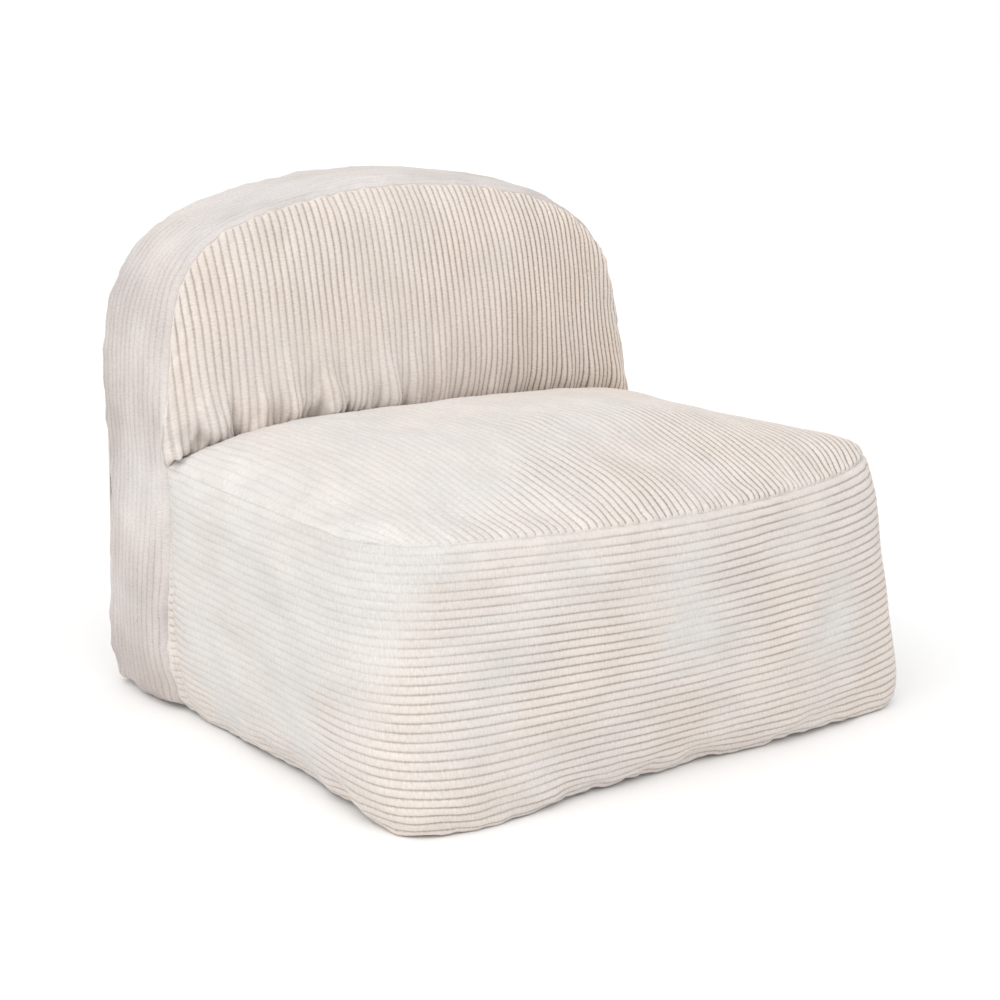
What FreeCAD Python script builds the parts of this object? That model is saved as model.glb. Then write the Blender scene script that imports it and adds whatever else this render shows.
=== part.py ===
import FreeCAD, Part
import math
import os

# Armless bean bag chair: a boxed seat cushion and an upright arched backrest under one
# sewn corduroy cover. The cover closes with a zip across the lower rear, and two zipped
# liners inside it hold the filling, one for the seat and one for the backrest.
# Millimetres. +Z is up, the chair faces -Y, and the origin is on the floor at the centre
# of the chair's box.

V = FreeCAD.Vector

# Whole chair
seat_width = 800.0            # across the belly of the seat
backrest_width = 770.0        # across the gusset, from the floor to the shoulders
chair_depth = 750.0           # belly of the seat front to the rear panel
chair_height = 680.0          # top of the arch

# Seat
seam_height = 325.0           # seam between the seat top and the boxing band
seat_crown = 45.0             # rise of the seat top above that seam
crown_reach = 230.0           # how far in from the seam the seat top still rises
crown_rings = 4               # rings that make up the crowned seat top
belly_height = 130.0          # height of the widest section
seat_corner_radius = 95.0     # front corners, seen from above
side_bow = 12.0               # sides curve out between their ends
front_bow = 60.0              # front curves out between the corners
base_tuck = 22.0              # how far the belly stands out past the base
seam_tuck = 12.0              # how far the belly stands out past the top seam

# Backrest
backrest_depth = 157.0        # between the two arch seams
front_crown = 50.0            # middle of the front panel ahead of its seam
rear_crown = 30.0             # middle of the rear panel behind its seam
crown_start = 400.0           # height where both panels start to roll in to the top
shoulder_start = 440.0        # height where the straight sides end
shoulder_radius = 210.0
rear_corner_radius = 150.0    # rear panel's vertical corners, seen from above
rear_corner_reach = 90.0      # how far in from the gusset those corners start

# Cloth, bags and filling
cover_cloth = 3.0             # jumbo corduroy
liner_cloth = 0.8
liner_slider_room = 0.55      # between a liner zip's slider and the cover
fill_gap = 0.5                # between a liner and its filling

# Cover zip, across the rear panel
cover_zip_height = 95.0       # its middle line above the floor
cover_zip_end_space = 105.0   # from the end of its teeth to the gusset
cover_tape_width = 16.0       # each side of the chain
cover_tooth_width = 3.0       # each row of teeth
cover_tooth_height = 2.6

# Liner zips, across the underside of each liner
liner_zip_end_space = 175.0   # from the end of the teeth to the gusset's line
liner_tape_width = 10.0
liner_tooth_width = 2.2
liner_tooth_height = 1.6

# What both sizes of zip share
tape_cloth = 0.8
row_gap = 1.8                 # between the two rows of teeth
slider_clearance = 0.35       # slider to teeth, tapes and cloth
slider_plate = 1.0            # thickness of the slider's two plates
slider_length = 13.0
slider_lip = 0.9              # rolled edge of the outer plate, towards the tape
slider_corner_radius = slider_lip / 2    # inside the rolled edge
bridge_length = 4.0           # post that joins the two plates, between the rows
stop_length = 3.0
zip_margin = 10.0             # tape past each end of the teeth

far = 2000.0                  # larger than the chair, for half spaces
overhang = 60.0               # how far a side outline runs past what it cuts

front_y = -chair_depth / 2
rear_y = chair_depth / 2
rear_seam_y = rear_y - rear_crown
crease_y = rear_seam_y - backrest_depth
backrest_half = backrest_width / 2
seat_side = seat_width / 2 - side_bow / 2
backrest_middle_y = rear_seam_y - backrest_depth / 2
seat_middle_y = (front_y + crease_y) / 2
cover_zip_length = backrest_width - 2 * cover_zip_end_space
liner_zip_length = backrest_width - 2 * liner_zip_end_space
liner_gap = liner_tooth_height + slider_clearance + slider_plate + liner_slider_room
liner_inset = cover_cloth + liner_gap
bag_inset = liner_inset + liner_cloth
fill_inset = bag_inset + fill_gap


def block(low, high):
    """Box between two corners."""
    return Part.makeBox(high[0] - low[0], high[1] - low[1], high[2] - low[2], V(*low))


def slab(low_z, high_z):
    """Everything between two heights."""
    return block((-far, -far, low_z), (far, far, high_z))


def arc(start, middle, end):
    """Arc edge through three points."""
    return Part.Arc(V(*start), V(*middle), V(*end)).toShape()


def line(start, end):
    """Straight edge."""
    return Part.makeLine(V(*start), V(*end))


def arc_radius(rise, half_chord):
    """Radius of the arc with this height over its chord."""
    return (rise ** 2 + half_chord ** 2) / (2 * rise)


def write(name, shape):
    """Export one piece."""
    shape.exportStep(os.path.join("parts", name + ".step"))


def corner_turn(corner_x, rise, radius):
    """Angle round a corner where one wide arc, tangent to both corners, takes over.

    The wide arc's middle stands rise beyond the corners' centres.
    """
    wide_radius = (corner_x ** 2 + rise ** 2 - radius ** 2) / (2 * (rise - radius))
    return math.atan2(wide_radius - rise, corner_x)


# ---- Seat envelope ----

def seat_outline(z, side_x, end_x, corner_y, middle_y):
    """Plan outline of the seat at one height; it runs back under the backrest."""
    radius = seat_corner_radius
    corner_x = side_x - radius
    turn = corner_turn(corner_x, corner_y + radius - middle_y, radius)
    join_x = corner_x + radius * math.cos(turn)
    join_y = corner_y + radius - radius * math.sin(turn)
    mid_x = corner_x + radius * math.cos(turn / 2)
    mid_y = corner_y + radius - radius * math.sin(turn / 2)
    tangent_y = corner_y + radius
    bow_x = max(side_x, end_x) + side_bow / 2
    bow_y = (tangent_y + crease_y) / 2
    edges = [
        arc((-join_x, join_y, z), (0, middle_y, z), (join_x, join_y, z)),
        arc((join_x, join_y, z), (mid_x, mid_y, z), (side_x, tangent_y, z)),
        arc((side_x, tangent_y, z), (bow_x, bow_y, z), (end_x, crease_y, z)),
        line((end_x, crease_y, z), (end_x, rear_seam_y, z)),
        line((end_x, rear_seam_y, z), (-end_x, rear_seam_y, z)),
        line((-end_x, rear_seam_y, z), (-end_x, crease_y, z)),
        arc((-end_x, crease_y, z), (-bow_x, bow_y, z), (-side_x, tangent_y, z)),
        arc((-side_x, tangent_y, z), (-mid_x, mid_y, z), (-join_x, join_y, z)),
    ]
    return Part.Wire(edges)


def seat_level(z, inset, tuck, reach=0.0):
    """Outline at one height: tucked in from the belly, then drawn in by reach on the crown."""
    drawn = inset + reach
    middle_y = front_y + tuck + drawn
    bow = front_bow * (1 - 0.5 * reach / crown_reach)
    return seat_outline(z, seat_side - tuck - drawn, backrest_half - drawn, middle_y + bow, middle_y)


def seat_envelope(inset):
    """Outer shape of the seat, moved in by inset."""
    levels = [
        seat_level(inset, inset, base_tuck),
        seat_level(belly_height, inset, 0.0),
        seat_level(seam_height, inset, seam_tuck),
    ]
    for ring in range(1, crown_rings + 1):
        share = ring / crown_rings
        rise = seat_crown * (1 - (1 - share) ** 2)
        levels.append(seat_level(seam_height + rise - inset, inset, seam_tuck, crown_reach * share))
    return Part.makeLoft(levels, True, True)


# ---- Backrest envelope ----

def arch(inset):
    """Arch seen from the front, run through the whole depth."""
    centre_x = backrest_half - shoulder_radius
    turn = corner_turn(centre_x, chair_height - shoulder_start, shoulder_radius)
    half = backrest_half - inset
    radius = shoulder_radius - inset
    join_x = centre_x + radius * math.cos(turn)
    join_z = shoulder_start + radius * math.sin(turn)
    mid_x = centre_x + radius * math.cos(turn / 2)
    mid_z = shoulder_start + radius * math.sin(turn / 2)
    edges = [
        line((-half, -far, inset), (half, -far, inset)),
        line((half, -far, inset), (half, -far, shoulder_start)),
        arc((half, -far, shoulder_start), (mid_x, -far, mid_z), (join_x, -far, join_z)),
        arc((join_x, -far, join_z), (0, -far, chair_height - inset), (-join_x, -far, join_z)),
        arc((-join_x, -far, join_z), (-mid_x, -far, mid_z), (-half, -far, shoulder_start)),
        line((-half, -far, shoulder_start), (-half, -far, inset)),
    ]
    return Part.Face(Part.Wire(edges)).extrude(V(0, 2 * far, 0))


def plan_prism(inset):
    """Backrest seen from above: crowned front, rounded rear corners, run through all heights."""
    corner = rear_corner_radius - inset
    corner_x = backrest_half - rear_corner_reach
    half = corner_x + corner
    front_middle = crease_y - front_crown
    radius = arc_radius(front_crown, backrest_half)
    front_end = front_middle + radius - math.sqrt((radius - inset) ** 2 - half ** 2)
    corner_y = rear_y - rear_corner_radius
    mid_x = corner_x + corner * math.sqrt(0.5)
    mid_y = corner_y + corner * math.sqrt(0.5)
    back_y = rear_y - inset
    edges = [
        arc((-half, front_end, -far), (0, front_middle + inset, -far), (half, front_end, -far)),
        line((half, front_end, -far), (half, corner_y, -far)),
        arc((half, corner_y, -far), (mid_x, mid_y, -far), (corner_x, back_y, -far)),
        line((corner_x, back_y, -far), (-corner_x, back_y, -far)),
        arc((-corner_x, back_y, -far), (-mid_x, mid_y, -far), (-half, corner_y, -far)),
        line((-half, corner_y, -far), (-half, front_end, -far)),
    ]
    return Part.Face(Part.Wire(edges)).extrude(V(0, 0, 2 * far))


def rolled_in(radius, inset, rise):
    """How far an inset arc has rolled in from the outer upright line, at a height."""
    return radius - math.sqrt((radius - inset) ** 2 - rise ** 2)


def side_prism(inset):
    """Backrest seen from the side: upright, then both panels roll in to the top."""
    height = chair_height - crown_start
    front_radius = arc_radius(front_crown, height)
    rear_radius = arc_radius(rear_crown, height)
    front_line = crease_y - front_crown
    ends = []
    for rise in (height / 2, height + overhang):
        front_roll = rolled_in(front_radius, inset, rise)
        rear_roll = rolled_in(rear_radius, inset, rise)
        ends.append((front_line + front_roll, rear_y - rear_roll, crown_start + rise))
    front = front_line + inset
    rear = rear_y - inset
    half, top = ends
    x = -far
    edges = [
        line((x, front, -overhang), (x, front, crown_start)),
        arc((x, front, crown_start), (x, half[0], half[2]), (x, top[0], top[2])),
        line((x, top[0], top[2]), (x, top[1], top[2])),
        arc((x, top[1], top[2]), (x, half[1], half[2]), (x, rear, crown_start)),
        line((x, rear, crown_start), (x, rear, -overhang)),
        line((x, rear, -overhang), (x, front, -overhang)),
    ]
    return Part.Face(Part.Wire(edges)).extrude(V(2 * far, 0, 0))


def backrest_slab(inset):
    """Backrest with its front and rear moved in by inset, and no arch cut yet."""
    return plan_prism(inset).common(side_prism(inset))


def backrest_envelope(inset):
    """Outer shape of the backrest, moved in by inset."""
    return backrest_slab(inset).common(arch(inset))


def behind_crease(inset):
    """Everything behind the backrest's crowned front face, moved back by inset."""
    radius = arc_radius(front_crown, backrest_half) - inset
    centre = V(0, crease_y - front_crown + radius + inset, -far)
    return Part.makeCylinder(radius, 2 * far, centre)


# ---- Sewn cover ----

def seat_shell():
    """Cloth of the seat, all round and over the top, ahead of the backrest."""
    return seat_envelope(0).cut(seat_envelope(cover_cloth))


def make_seat_top_panel():
    """Crowned seat top, whose rear edge lies under the backrest's front panel."""
    top = seat_shell().common(slab(seam_height, chair_height))
    return top.cut(behind_crease(cover_cloth)).cut(make_backrest_gusset())


def make_seat_boxing_band():
    """One strip round the left side, the front and the right side of the seat."""
    band = seat_shell().common(slab(cover_cloth, seam_height))
    return band.cut(behind_crease(0))


def backrest_panels():
    """Cloth of the front and rear panels, inside the gusset and above the base."""
    cloth = backrest_slab(0).cut(backrest_slab(cover_cloth))
    return cloth.common(arch(cover_cloth))


def ahead_of_backrest_middle():
    """Everything ahead of the middle of the backrest."""
    return block((-far, -far, -far), (far, backrest_middle_y, far))


def make_backrest_front_panel():
    """Crowned front of the backrest, from the seat top up to the arch seam."""
    return backrest_panels().common(ahead_of_backrest_middle()).cut(seat_envelope(0))


def make_backrest_gusset():
    """Band from the floor over the arch and back down, between the two arch seams."""
    band = arch(0).cut(arch(cover_cloth)).common(backrest_slab(0))
    return band.common(slab(cover_cloth, chair_height))


def zip_opening():
    """Gap between the two rear panels where the cover zip shows."""
    half_length = cover_zip_length / 2 + stop_length
    half_height = slider_half_width(cover_tooth_width) + slider_clearance
    low = (-half_length, backrest_middle_y, cover_zip_height - half_height)
    return block(low, (half_length, far, cover_zip_height + half_height))


def rear_panel(low_z, high_z):
    """Part of the rear panel between two heights, open where the zip shows."""
    panel = backrest_panels().cut(ahead_of_backrest_middle())
    return panel.common(slab(low_z, high_z)).cut(zip_opening())


def make_rear_lower_panel():
    """Strip of the rear panel from the base up to the zip."""
    return rear_panel(cover_cloth, cover_zip_height)


def make_rear_upper_panel():
    """Rear panel from the zip up to the arch seam."""
    return rear_panel(cover_zip_height, chair_height)


def make_base_panel():
    """Flat cloth under the seat and the backrest."""
    floor_cloth = slab(0, cover_cloth)
    seat_foot = seat_envelope(0).common(floor_cloth).cut(behind_crease(0))
    return seat_foot.fuse(backrest_envelope(0).common(floor_cloth)).removeSplitter()


# ---- Zips ----
# A zip is built along X with its tapes' outer face on Z = 0 and its teeth on +Z.

def slider_half_width(tooth_width):
    """Half the width of the slider that runs on teeth of this width."""
    return row_gap / 2 + tooth_width + slider_clearance + slider_lip


def zip_tape(side, length, tape_width):
    """Tape on one side of the chain."""
    half = length / 2 + zip_margin
    edges = sorted((side * row_gap / 2, side * (row_gap / 2 + tape_width)))
    return block((-half, edges[0], -tape_cloth), (half, edges[1], 0))


def zip_teeth(side, length, tooth_width, tooth_height):
    """Row of teeth on one side of the chain, as a plain bar."""
    half = length / 2 - stop_length
    edges = sorted((side * row_gap / 2, side * (row_gap / 2 + tooth_width)))
    return block((-half, edges[0], 0), (half, edges[1], tooth_height))


def zip_stops(length, tooth_width, tooth_height):
    """A stop across both rows at one end, and one on each row at the other."""
    half = length / 2
    outer = row_gap / 2 + tooth_width
    inner = row_gap / 2
    bottom_stop = block((half - stop_length, -outer, 0), (half, outer, tooth_height))
    upper_stop = block((-half, inner, 0), (stop_length - half, outer, tooth_height))
    lower_stop = block((-half, -outer, 0), (stop_length - half, -inner, tooth_height))
    return Part.makeCompound([bottom_stop, upper_stop, lower_stop])


def zip_slider(length, tooth_width, tooth_height):
    """Slider without a pull tab, closed against the two single stops."""
    start = stop_length + slider_clearance - length / 2
    end = start + slider_length
    half = slider_half_width(tooth_width)
    lip = half - slider_lip
    low = tooth_height + slider_clearance
    high = low + slider_plate
    under = -tape_cloth - slider_clearance
    post = row_gap / 2 - slider_clearance
    outer_plate = block((start, -half, low), (end, half, high))
    inner_plate = block((start, -half, under - slider_plate), (end, half, under))
    bridge = block((start, -post, under), (start + bridge_length, post, low))
    left_lip = block((start, lip, slider_clearance), (end, half, low))
    right_lip = block((start, -half, slider_clearance), (end, -lip, low))
    body = outer_plate.fuse([inner_plate, bridge, left_lip, right_lip]).removeSplitter()
    return rounded_ends(body)


def rounded_ends(body):
    """Slider with the corners of its two plates rounded, seen from outside."""
    box = body.BoundBox
    corners = []
    for edge in body.Edges:
        upright = abs(edge.tangentAt(edge.FirstParameter).z) > 0.99
        middle = edge.CenterOfMass
        at_end = min(abs(middle.x - box.XMin), abs(middle.x - box.XMax)) < 0.01
        at_side = min(abs(middle.y - box.YMin), abs(middle.y - box.YMax)) < 0.01
        if upright and at_end and at_side:
            corners.append(edge)
    return body.makeFillet(slider_corner_radius, corners)


def write_zip(prefix, sides, length, tape_width, tooth_width, tooth_height, place):
    """Export a zip's tapes, rows of teeth, stops and slider, moved into place."""
    one, other = sides
    pieces = {
        one + "_tape": zip_tape(1, length, tape_width),
        other + "_tape": zip_tape(-1, length, tape_width),
        one + "_teeth": zip_teeth(1, length, tooth_width, tooth_height),
        other + "_teeth": zip_teeth(-1, length, tooth_width, tooth_height),
        "end_stops": zip_stops(length, tooth_width, tooth_height),
        "slider": zip_slider(length, tooth_width, tooth_height),
    }
    for name, shape in pieces.items():
        shape.Placement = place
        write(prefix + "_" + name, shape)


def cover_zip_place():
    """Behind the rear panels, with the teeth facing the rear."""
    spot = V(0, rear_y - cover_cloth, cover_zip_height)
    return FreeCAD.Placement(spot, FreeCAD.Rotation(V(1, 0, 0), -90))


def liner_zip_place(middle_y):
    """In the underside of a liner, with the teeth facing down."""
    spot = V(0, middle_y, liner_inset)
    return FreeCAD.Placement(spot, FreeCAD.Rotation(V(1, 0, 0), 180))


# ---- Liners and filling ----

def liner_zip_hole(middle_y):
    """Hole in a liner that its zip tapes fill."""
    half_length = liner_zip_length / 2 + zip_margin
    half_width = row_gap / 2 + liner_tape_width
    low = (-half_length, middle_y - half_width, 0)
    return block(low, (half_length, middle_y + half_width, bag_inset + fill_gap))


def slider_channel(middle_y):
    """Dent in the filling that the inner plate of a liner's slider runs in."""
    half_length = liner_zip_length / 2
    half_width = slider_half_width(liner_tooth_width) + slider_clearance
    depth = liner_inset + tape_cloth + slider_plate + 2 * slider_clearance
    low = (-half_length, middle_y - half_width, 0)
    return block(low, (half_length, middle_y + half_width, depth))


def seat_bag(inset):
    """Seat space moved in by inset, clear of the backrest's front face by the same amount."""
    clear = liner_inset - inset
    return seat_envelope(inset).cut(behind_crease(clear))


def make_seat_liner():
    """Bag that holds the seat filling."""
    return seat_bag(liner_inset).cut(seat_bag(bag_inset)).cut(liner_zip_hole(seat_middle_y))


def make_seat_fill():
    """Filling of the seat liner."""
    return seat_bag(fill_inset).cut(slider_channel(seat_middle_y))


def make_back_liner():
    """Bag that holds the backrest filling, from the base to the arch."""
    bag = backrest_envelope(liner_inset).cut(backrest_envelope(bag_inset))
    return bag.cut(liner_zip_hole(backrest_middle_y))


def make_back_fill():
    """Filling of the backrest liner."""
    return backrest_envelope(fill_inset).cut(slider_channel(backrest_middle_y))


def main():
    """Build and export every piece."""
    os.makedirs("parts", exist_ok=True)
    write("seat_top_panel", make_seat_top_panel())
    write("seat_boxing_band", make_seat_boxing_band())
    write("backrest_front_panel", make_backrest_front_panel())
    write("backrest_gusset", make_backrest_gusset())
    write("rear_upper_panel", make_rear_upper_panel())
    write("rear_lower_panel", make_rear_lower_panel())
    write("base_panel", make_base_panel())
    write("seat_liner", make_seat_liner())
    write("seat_fill", make_seat_fill())
    write("back_liner", make_back_liner())
    write("back_fill", make_back_fill())
    cover = (cover_zip_length, cover_tape_width, cover_tooth_width, cover_tooth_height)
    liner = (liner_zip_length, liner_tape_width, liner_tooth_width, liner_tooth_height)
    across = ("front", "rear")
    write_zip("cover_zip", ("lower", "upper"), *cover, cover_zip_place())
    write_zip("seat_liner_zip", across, *liner, liner_zip_place(seat_middle_y))
    write_zip("back_liner_zip", across, *liner, liner_zip_place(backrest_middle_y))


main()
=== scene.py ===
import logging
import math
from dataclasses import dataclass, field
from enum import Enum

import bpy
import numpy as np
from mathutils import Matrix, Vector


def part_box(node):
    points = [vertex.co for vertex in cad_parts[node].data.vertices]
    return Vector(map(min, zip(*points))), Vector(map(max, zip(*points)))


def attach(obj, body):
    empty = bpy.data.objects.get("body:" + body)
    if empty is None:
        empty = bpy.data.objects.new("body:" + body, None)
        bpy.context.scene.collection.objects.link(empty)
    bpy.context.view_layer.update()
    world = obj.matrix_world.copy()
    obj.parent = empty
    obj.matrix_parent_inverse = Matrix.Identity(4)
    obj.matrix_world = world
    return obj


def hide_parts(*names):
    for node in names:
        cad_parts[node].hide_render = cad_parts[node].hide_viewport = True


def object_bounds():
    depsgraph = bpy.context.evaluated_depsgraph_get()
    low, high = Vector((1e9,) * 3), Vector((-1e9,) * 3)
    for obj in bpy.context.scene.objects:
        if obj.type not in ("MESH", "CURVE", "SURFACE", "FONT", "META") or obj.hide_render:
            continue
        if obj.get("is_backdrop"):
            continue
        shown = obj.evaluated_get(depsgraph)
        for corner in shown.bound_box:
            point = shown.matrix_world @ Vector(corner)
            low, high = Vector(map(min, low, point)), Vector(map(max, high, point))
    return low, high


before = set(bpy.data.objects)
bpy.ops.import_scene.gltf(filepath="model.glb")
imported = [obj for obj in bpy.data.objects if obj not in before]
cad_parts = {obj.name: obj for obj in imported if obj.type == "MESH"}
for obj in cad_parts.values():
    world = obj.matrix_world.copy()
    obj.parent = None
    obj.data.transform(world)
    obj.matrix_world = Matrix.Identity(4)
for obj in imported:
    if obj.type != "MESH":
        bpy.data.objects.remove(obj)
CAD_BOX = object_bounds()

logging.basicConfig(level=logging.INFO, format="%(name)s: %(message)s")
LOG = logging.getLogger("bean_bag_chair")
Array = np.ndarray
Socket = bpy.types.NodeSocket
Place = tuple[float, float, float]
Colour = tuple[float, float, float, float]
WELDS_PER_METRE = 2e4


# ---------------------------------------------------------------- curves and grids

def lengths_along(points: Array) -> Array:
    """Length of a line from its start to each of its points."""
    return np.concatenate([[0.0], np.cumsum(np.linalg.norm(np.diff(points, axis=0), axis=1))])


def resample(points: Array, cells: int) -> Array:
    """Spread points evenly along a line.

    Args:
        points: the line's corners, one row each.
        cells: how many equal lengths to cut it into.

    Returns:
        cells + 1 points, the first and the last unchanged.
    """
    along = lengths_along(points)
    wanted = np.linspace(0.0, along[-1], cells + 1)
    return np.stack([np.interp(wanted, along, values) for values in points.T], axis=1)


def arc(centre_x: float, centre_y: float, radius: float, start: float, end: float,
        steps: int = 40) -> Array:
    """Points on a circle's arc, between two angles in radians."""
    turn = np.linspace(start, end, steps + 1)
    return np.stack([centre_x + radius * np.cos(turn), centre_y + radius * np.sin(turn)], axis=1)


def wide_arc_turn(corner_x: float, rise: float, radius: float) -> tuple[float, float]:
    """The wide arc that runs from one corner arc to the other and is tangent to both.

    Args:
        corner_x: the corner centre's distance from the middle.
        rise: how far the wide arc's top lies beyond the corner's centre.
        radius: the corner's radius.

    Returns:
        The wide arc's radius, and the angle at which it takes over from the corner.
    """
    wide = (corner_x ** 2 + rise ** 2 - radius ** 2) / (2.0 * (rise - radius))
    return wide, math.atan2(wide - rise, corner_x)


def mirrored(points: Array) -> Array:
    """The same points with x turned over, in reverse order."""
    other = points[::-1].copy()
    other[:, 0] *= -1.0
    return other


def coons(bottom: Array, top: Array, left: Array, right: Array) -> Array:
    """Fill the grid between four edge lines.

    Args:
        bottom, top: columns + 1 points each, left to right.
        left, right: rows + 1 points each, bottom to top.

    Returns:
        Grid of rows + 1 by columns + 1 points.
    """
    u = np.linspace(0.0, 1.0, len(bottom))[None, :, None]
    v = np.linspace(0.0, 1.0, len(left))[:, None, None]
    across = (1 - v) * bottom[None] + v * top[None]
    along = (1 - u) * left[:, None] + u * right[:, None]
    corners = ((1 - u) * (1 - v) * bottom[0] + u * (1 - v) * bottom[-1]
               + (1 - u) * v * top[0] + u * v * top[-1])
    return across + along - corners


def outline_of(flat: Array) -> Array:
    """Closed outline of a grid, anticlockwise from its first corner."""
    return np.concatenate([flat[0, :-1], flat[:-1, -1], flat[-1, :0:-1], flat[:0:-1, 0]])


def loop_area(loop: Array) -> float:
    """Area inside a closed flat outline."""
    x, y = loop.T
    return abs(float(np.sum(x * np.roll(y, -1) - np.roll(x, -1) * y))) / 2


def loop_distances(points: Array, loop: Array) -> Array:
    """Distance from each flat place to a closed outline."""
    nearest = np.full(len(points), np.inf)
    for start, end in zip(loop, np.roll(loop, -1, axis=0)):
        run = end - start
        share = np.clip(((points - start) @ run) / max(float(run @ run), 1e-12), 0.0, 1.0)
        gap = points - start - share[:, None] * run
        nearest = np.minimum(nearest, gap[:, 0] ** 2 + gap[:, 1] ** 2)
    return np.sqrt(nearest)


def shares(grid: Array) -> tuple[Array, Array]:
    """How far along its columns and along its rows each point of a grid lies, 0 to 1."""
    rows, columns = grid.shape[:2]
    return np.linspace(0.0, 1.0, columns)[None, :], np.linspace(0.0, 1.0, rows)[:, None]


def steps_from_rim(grid: Array) -> Array:
    """How many rows or columns each point of a grid lies from its rim."""
    rows, columns = grid.shape[:2]
    row, column = np.indices((rows, columns))
    return np.minimum(np.minimum(row, rows - 1 - row), np.minimum(column, columns - 1 - column))


def cells_of(index: Array) -> Array:
    """Faces of a grid of point numbers."""
    corners = [index[:-1, :-1], index[:-1, 1:], index[1:, 1:], index[1:, :-1]]
    return np.stack(corners, axis=-1).reshape(-1, 4)


def grid_quads(rows: int, columns: int, begin: int = 0) -> Array:
    """Faces of a grid whose points are numbered row by row."""
    return cells_of(begin + np.arange(rows * columns).reshape(rows, columns))


def sewn(grids: list[Array]) -> tuple[Array, list[Array]]:
    """Weld grids together where their points are at equal places.

    Args:
        grids: rows by columns by place.

    Returns:
        The points, and each grid's point numbers.
    """
    every = np.concatenate([grid.reshape(-1, 3) for grid in grids])
    keys = np.round(every * WELDS_PER_METRE).astype(np.int64)
    _, first, inverse = np.unique(keys, axis=0, return_index=True, return_inverse=True)
    ends = np.cumsum([grid.shape[0] * grid.shape[1] for grid in grids])
    numbers = np.split(inverse.reshape(-1), ends[:-1])
    return every[first], [part.reshape(grid.shape[:2]) for part, grid in zip(numbers, grids)]


def cubic_weights(t: Array) -> Array:
    """Catmull-Rom weights of four neighbours for places t between the middle two."""
    return 0.5 * np.stack([
        -t + 2 * t ** 2 - t ** 3,
        2 - 5 * t ** 2 + 3 * t ** 3,
        t + 4 * t ** 2 - 3 * t ** 3,
        -t ** 2 + t ** 3,
    ], axis=-1)


def sample_grid(grid: Array, row: Array, column: Array) -> Array:
    """Smooth values of a grid at fractional rows and columns.

    Args:
        grid: rows by columns by values.
        row, column: places of any one shape.

    Returns:
        Values at those places, with the places' shape.
    """
    padded = np.pad(grid, ((1, 1), (1, 1), (0, 0)), mode="reflect", reflect_type="odd")
    rows, columns = grid.shape[0] - 1, grid.shape[1] - 1
    r0 = np.clip(np.floor(row).astype(int), 0, rows - 1)
    c0 = np.clip(np.floor(column).astype(int), 0, columns - 1)
    wr = cubic_weights(row - r0)
    wc = cubic_weights(column - c0)
    out = np.zeros(row.shape + (grid.shape[2],))
    for a in range(4):
        for b in range(4):
            out += (wr[..., a] * wc[..., b])[..., None] * padded[r0 + a, c0 + b]
    return out


def smooth_line(points: Array, steps: int = 12) -> Array:
    """A smooth line through a few points."""
    padded = np.concatenate([2 * points[:1] - points[1:2], points, 2 * points[-1:] - points[-2:-1]])
    weights = cubic_weights(np.arange(steps) / steps)
    runs = [weights @ padded[i:i + 4] for i in range(len(points) - 1)]
    return np.concatenate([*runs, points[-1:]])


def unit(vectors: Array) -> Array:
    """Vectors scaled to length one."""
    return vectors / np.maximum(np.linalg.norm(vectors, axis=-1, keepdims=True), 1e-12)


def grid_normals(grid: Array) -> Array:
    """Normals of a grid, by the right-hand rule from its columns' direction to its rows'."""
    across = np.gradient(grid, axis=1)
    along = np.gradient(grid, axis=0)
    return unit(np.cross(across, along))


@dataclass(frozen=True)
class Ripple:
    """Smooth repeatable unevenness in space, made of waves in random directions."""

    seed: int
    shortest: float
    longest: float
    depth: float = 1.0
    waves: int = 28

    def at(self, points: Array) -> Array:
        """Value at each point, about zero on average and mostly within twice the depth."""
        draw = np.random.default_rng(self.seed)
        length = np.exp(draw.uniform(math.log(self.shortest), math.log(self.longest), self.waves))
        run = unit(draw.normal(size=(self.waves, 3))) * (2 * math.pi / length)[:, None]
        total = np.zeros(points.shape[:-1])
        for wave, phase in zip(run, draw.uniform(0.0, 2 * math.pi, self.waves)):
            total += np.sin(points @ wave + phase)
        return total * math.sqrt(2.0 / self.waves) * self.depth


def smooth_step(value: Array) -> Array:
    """0 up to 0, 1 from 1, and smooth between them."""
    t = np.clip(value, 0.0, 1.0)
    return t * t * (3 - 2 * t)


def bell(distance: Array, reach: float) -> Array:
    """1 at no distance, falling smoothly to almost nothing past twice the reach."""
    return np.exp(-(distance / reach) ** 2)


# ---------------------------------------------------------------- the sewn cover

@dataclass(frozen=True)
class Outline:
    """Seat outline from above: bowed sides, round front corners and a bowed front."""

    side: float
    rear_half: float
    rear: float
    front: float
    bow: float
    radius: float
    side_bow: float

    def halves(self) -> tuple[Array, Array]:
        """Right side from the rear to mid corner, and the front from there to the middle."""
        corner_x = self.side - self.radius
        corner_y = self.front + self.bow + self.radius
        wide, turn = wide_arc_turn(corner_x, corner_y - self.front, self.radius)
        share = np.linspace(0.0, 1.0, 31)
        run_x = self.rear_half + (self.side - self.rear_half) * share
        bowed = run_x + self.side_bow * 4 * share * (1 - share)
        run = np.stack([bowed, self.rear + (corner_y - self.rear) * share], axis=1)
        corner = arc(corner_x, corner_y, self.radius, 0.0, -turn)
        half = len(corner) // 2
        side = np.concatenate([run, corner[1:half + 1]])
        sweep = arc(0.0, self.front + wide, wide, -turn, -math.pi / 2)
        return side, np.concatenate([corner[half:], sweep[1:]])


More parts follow.
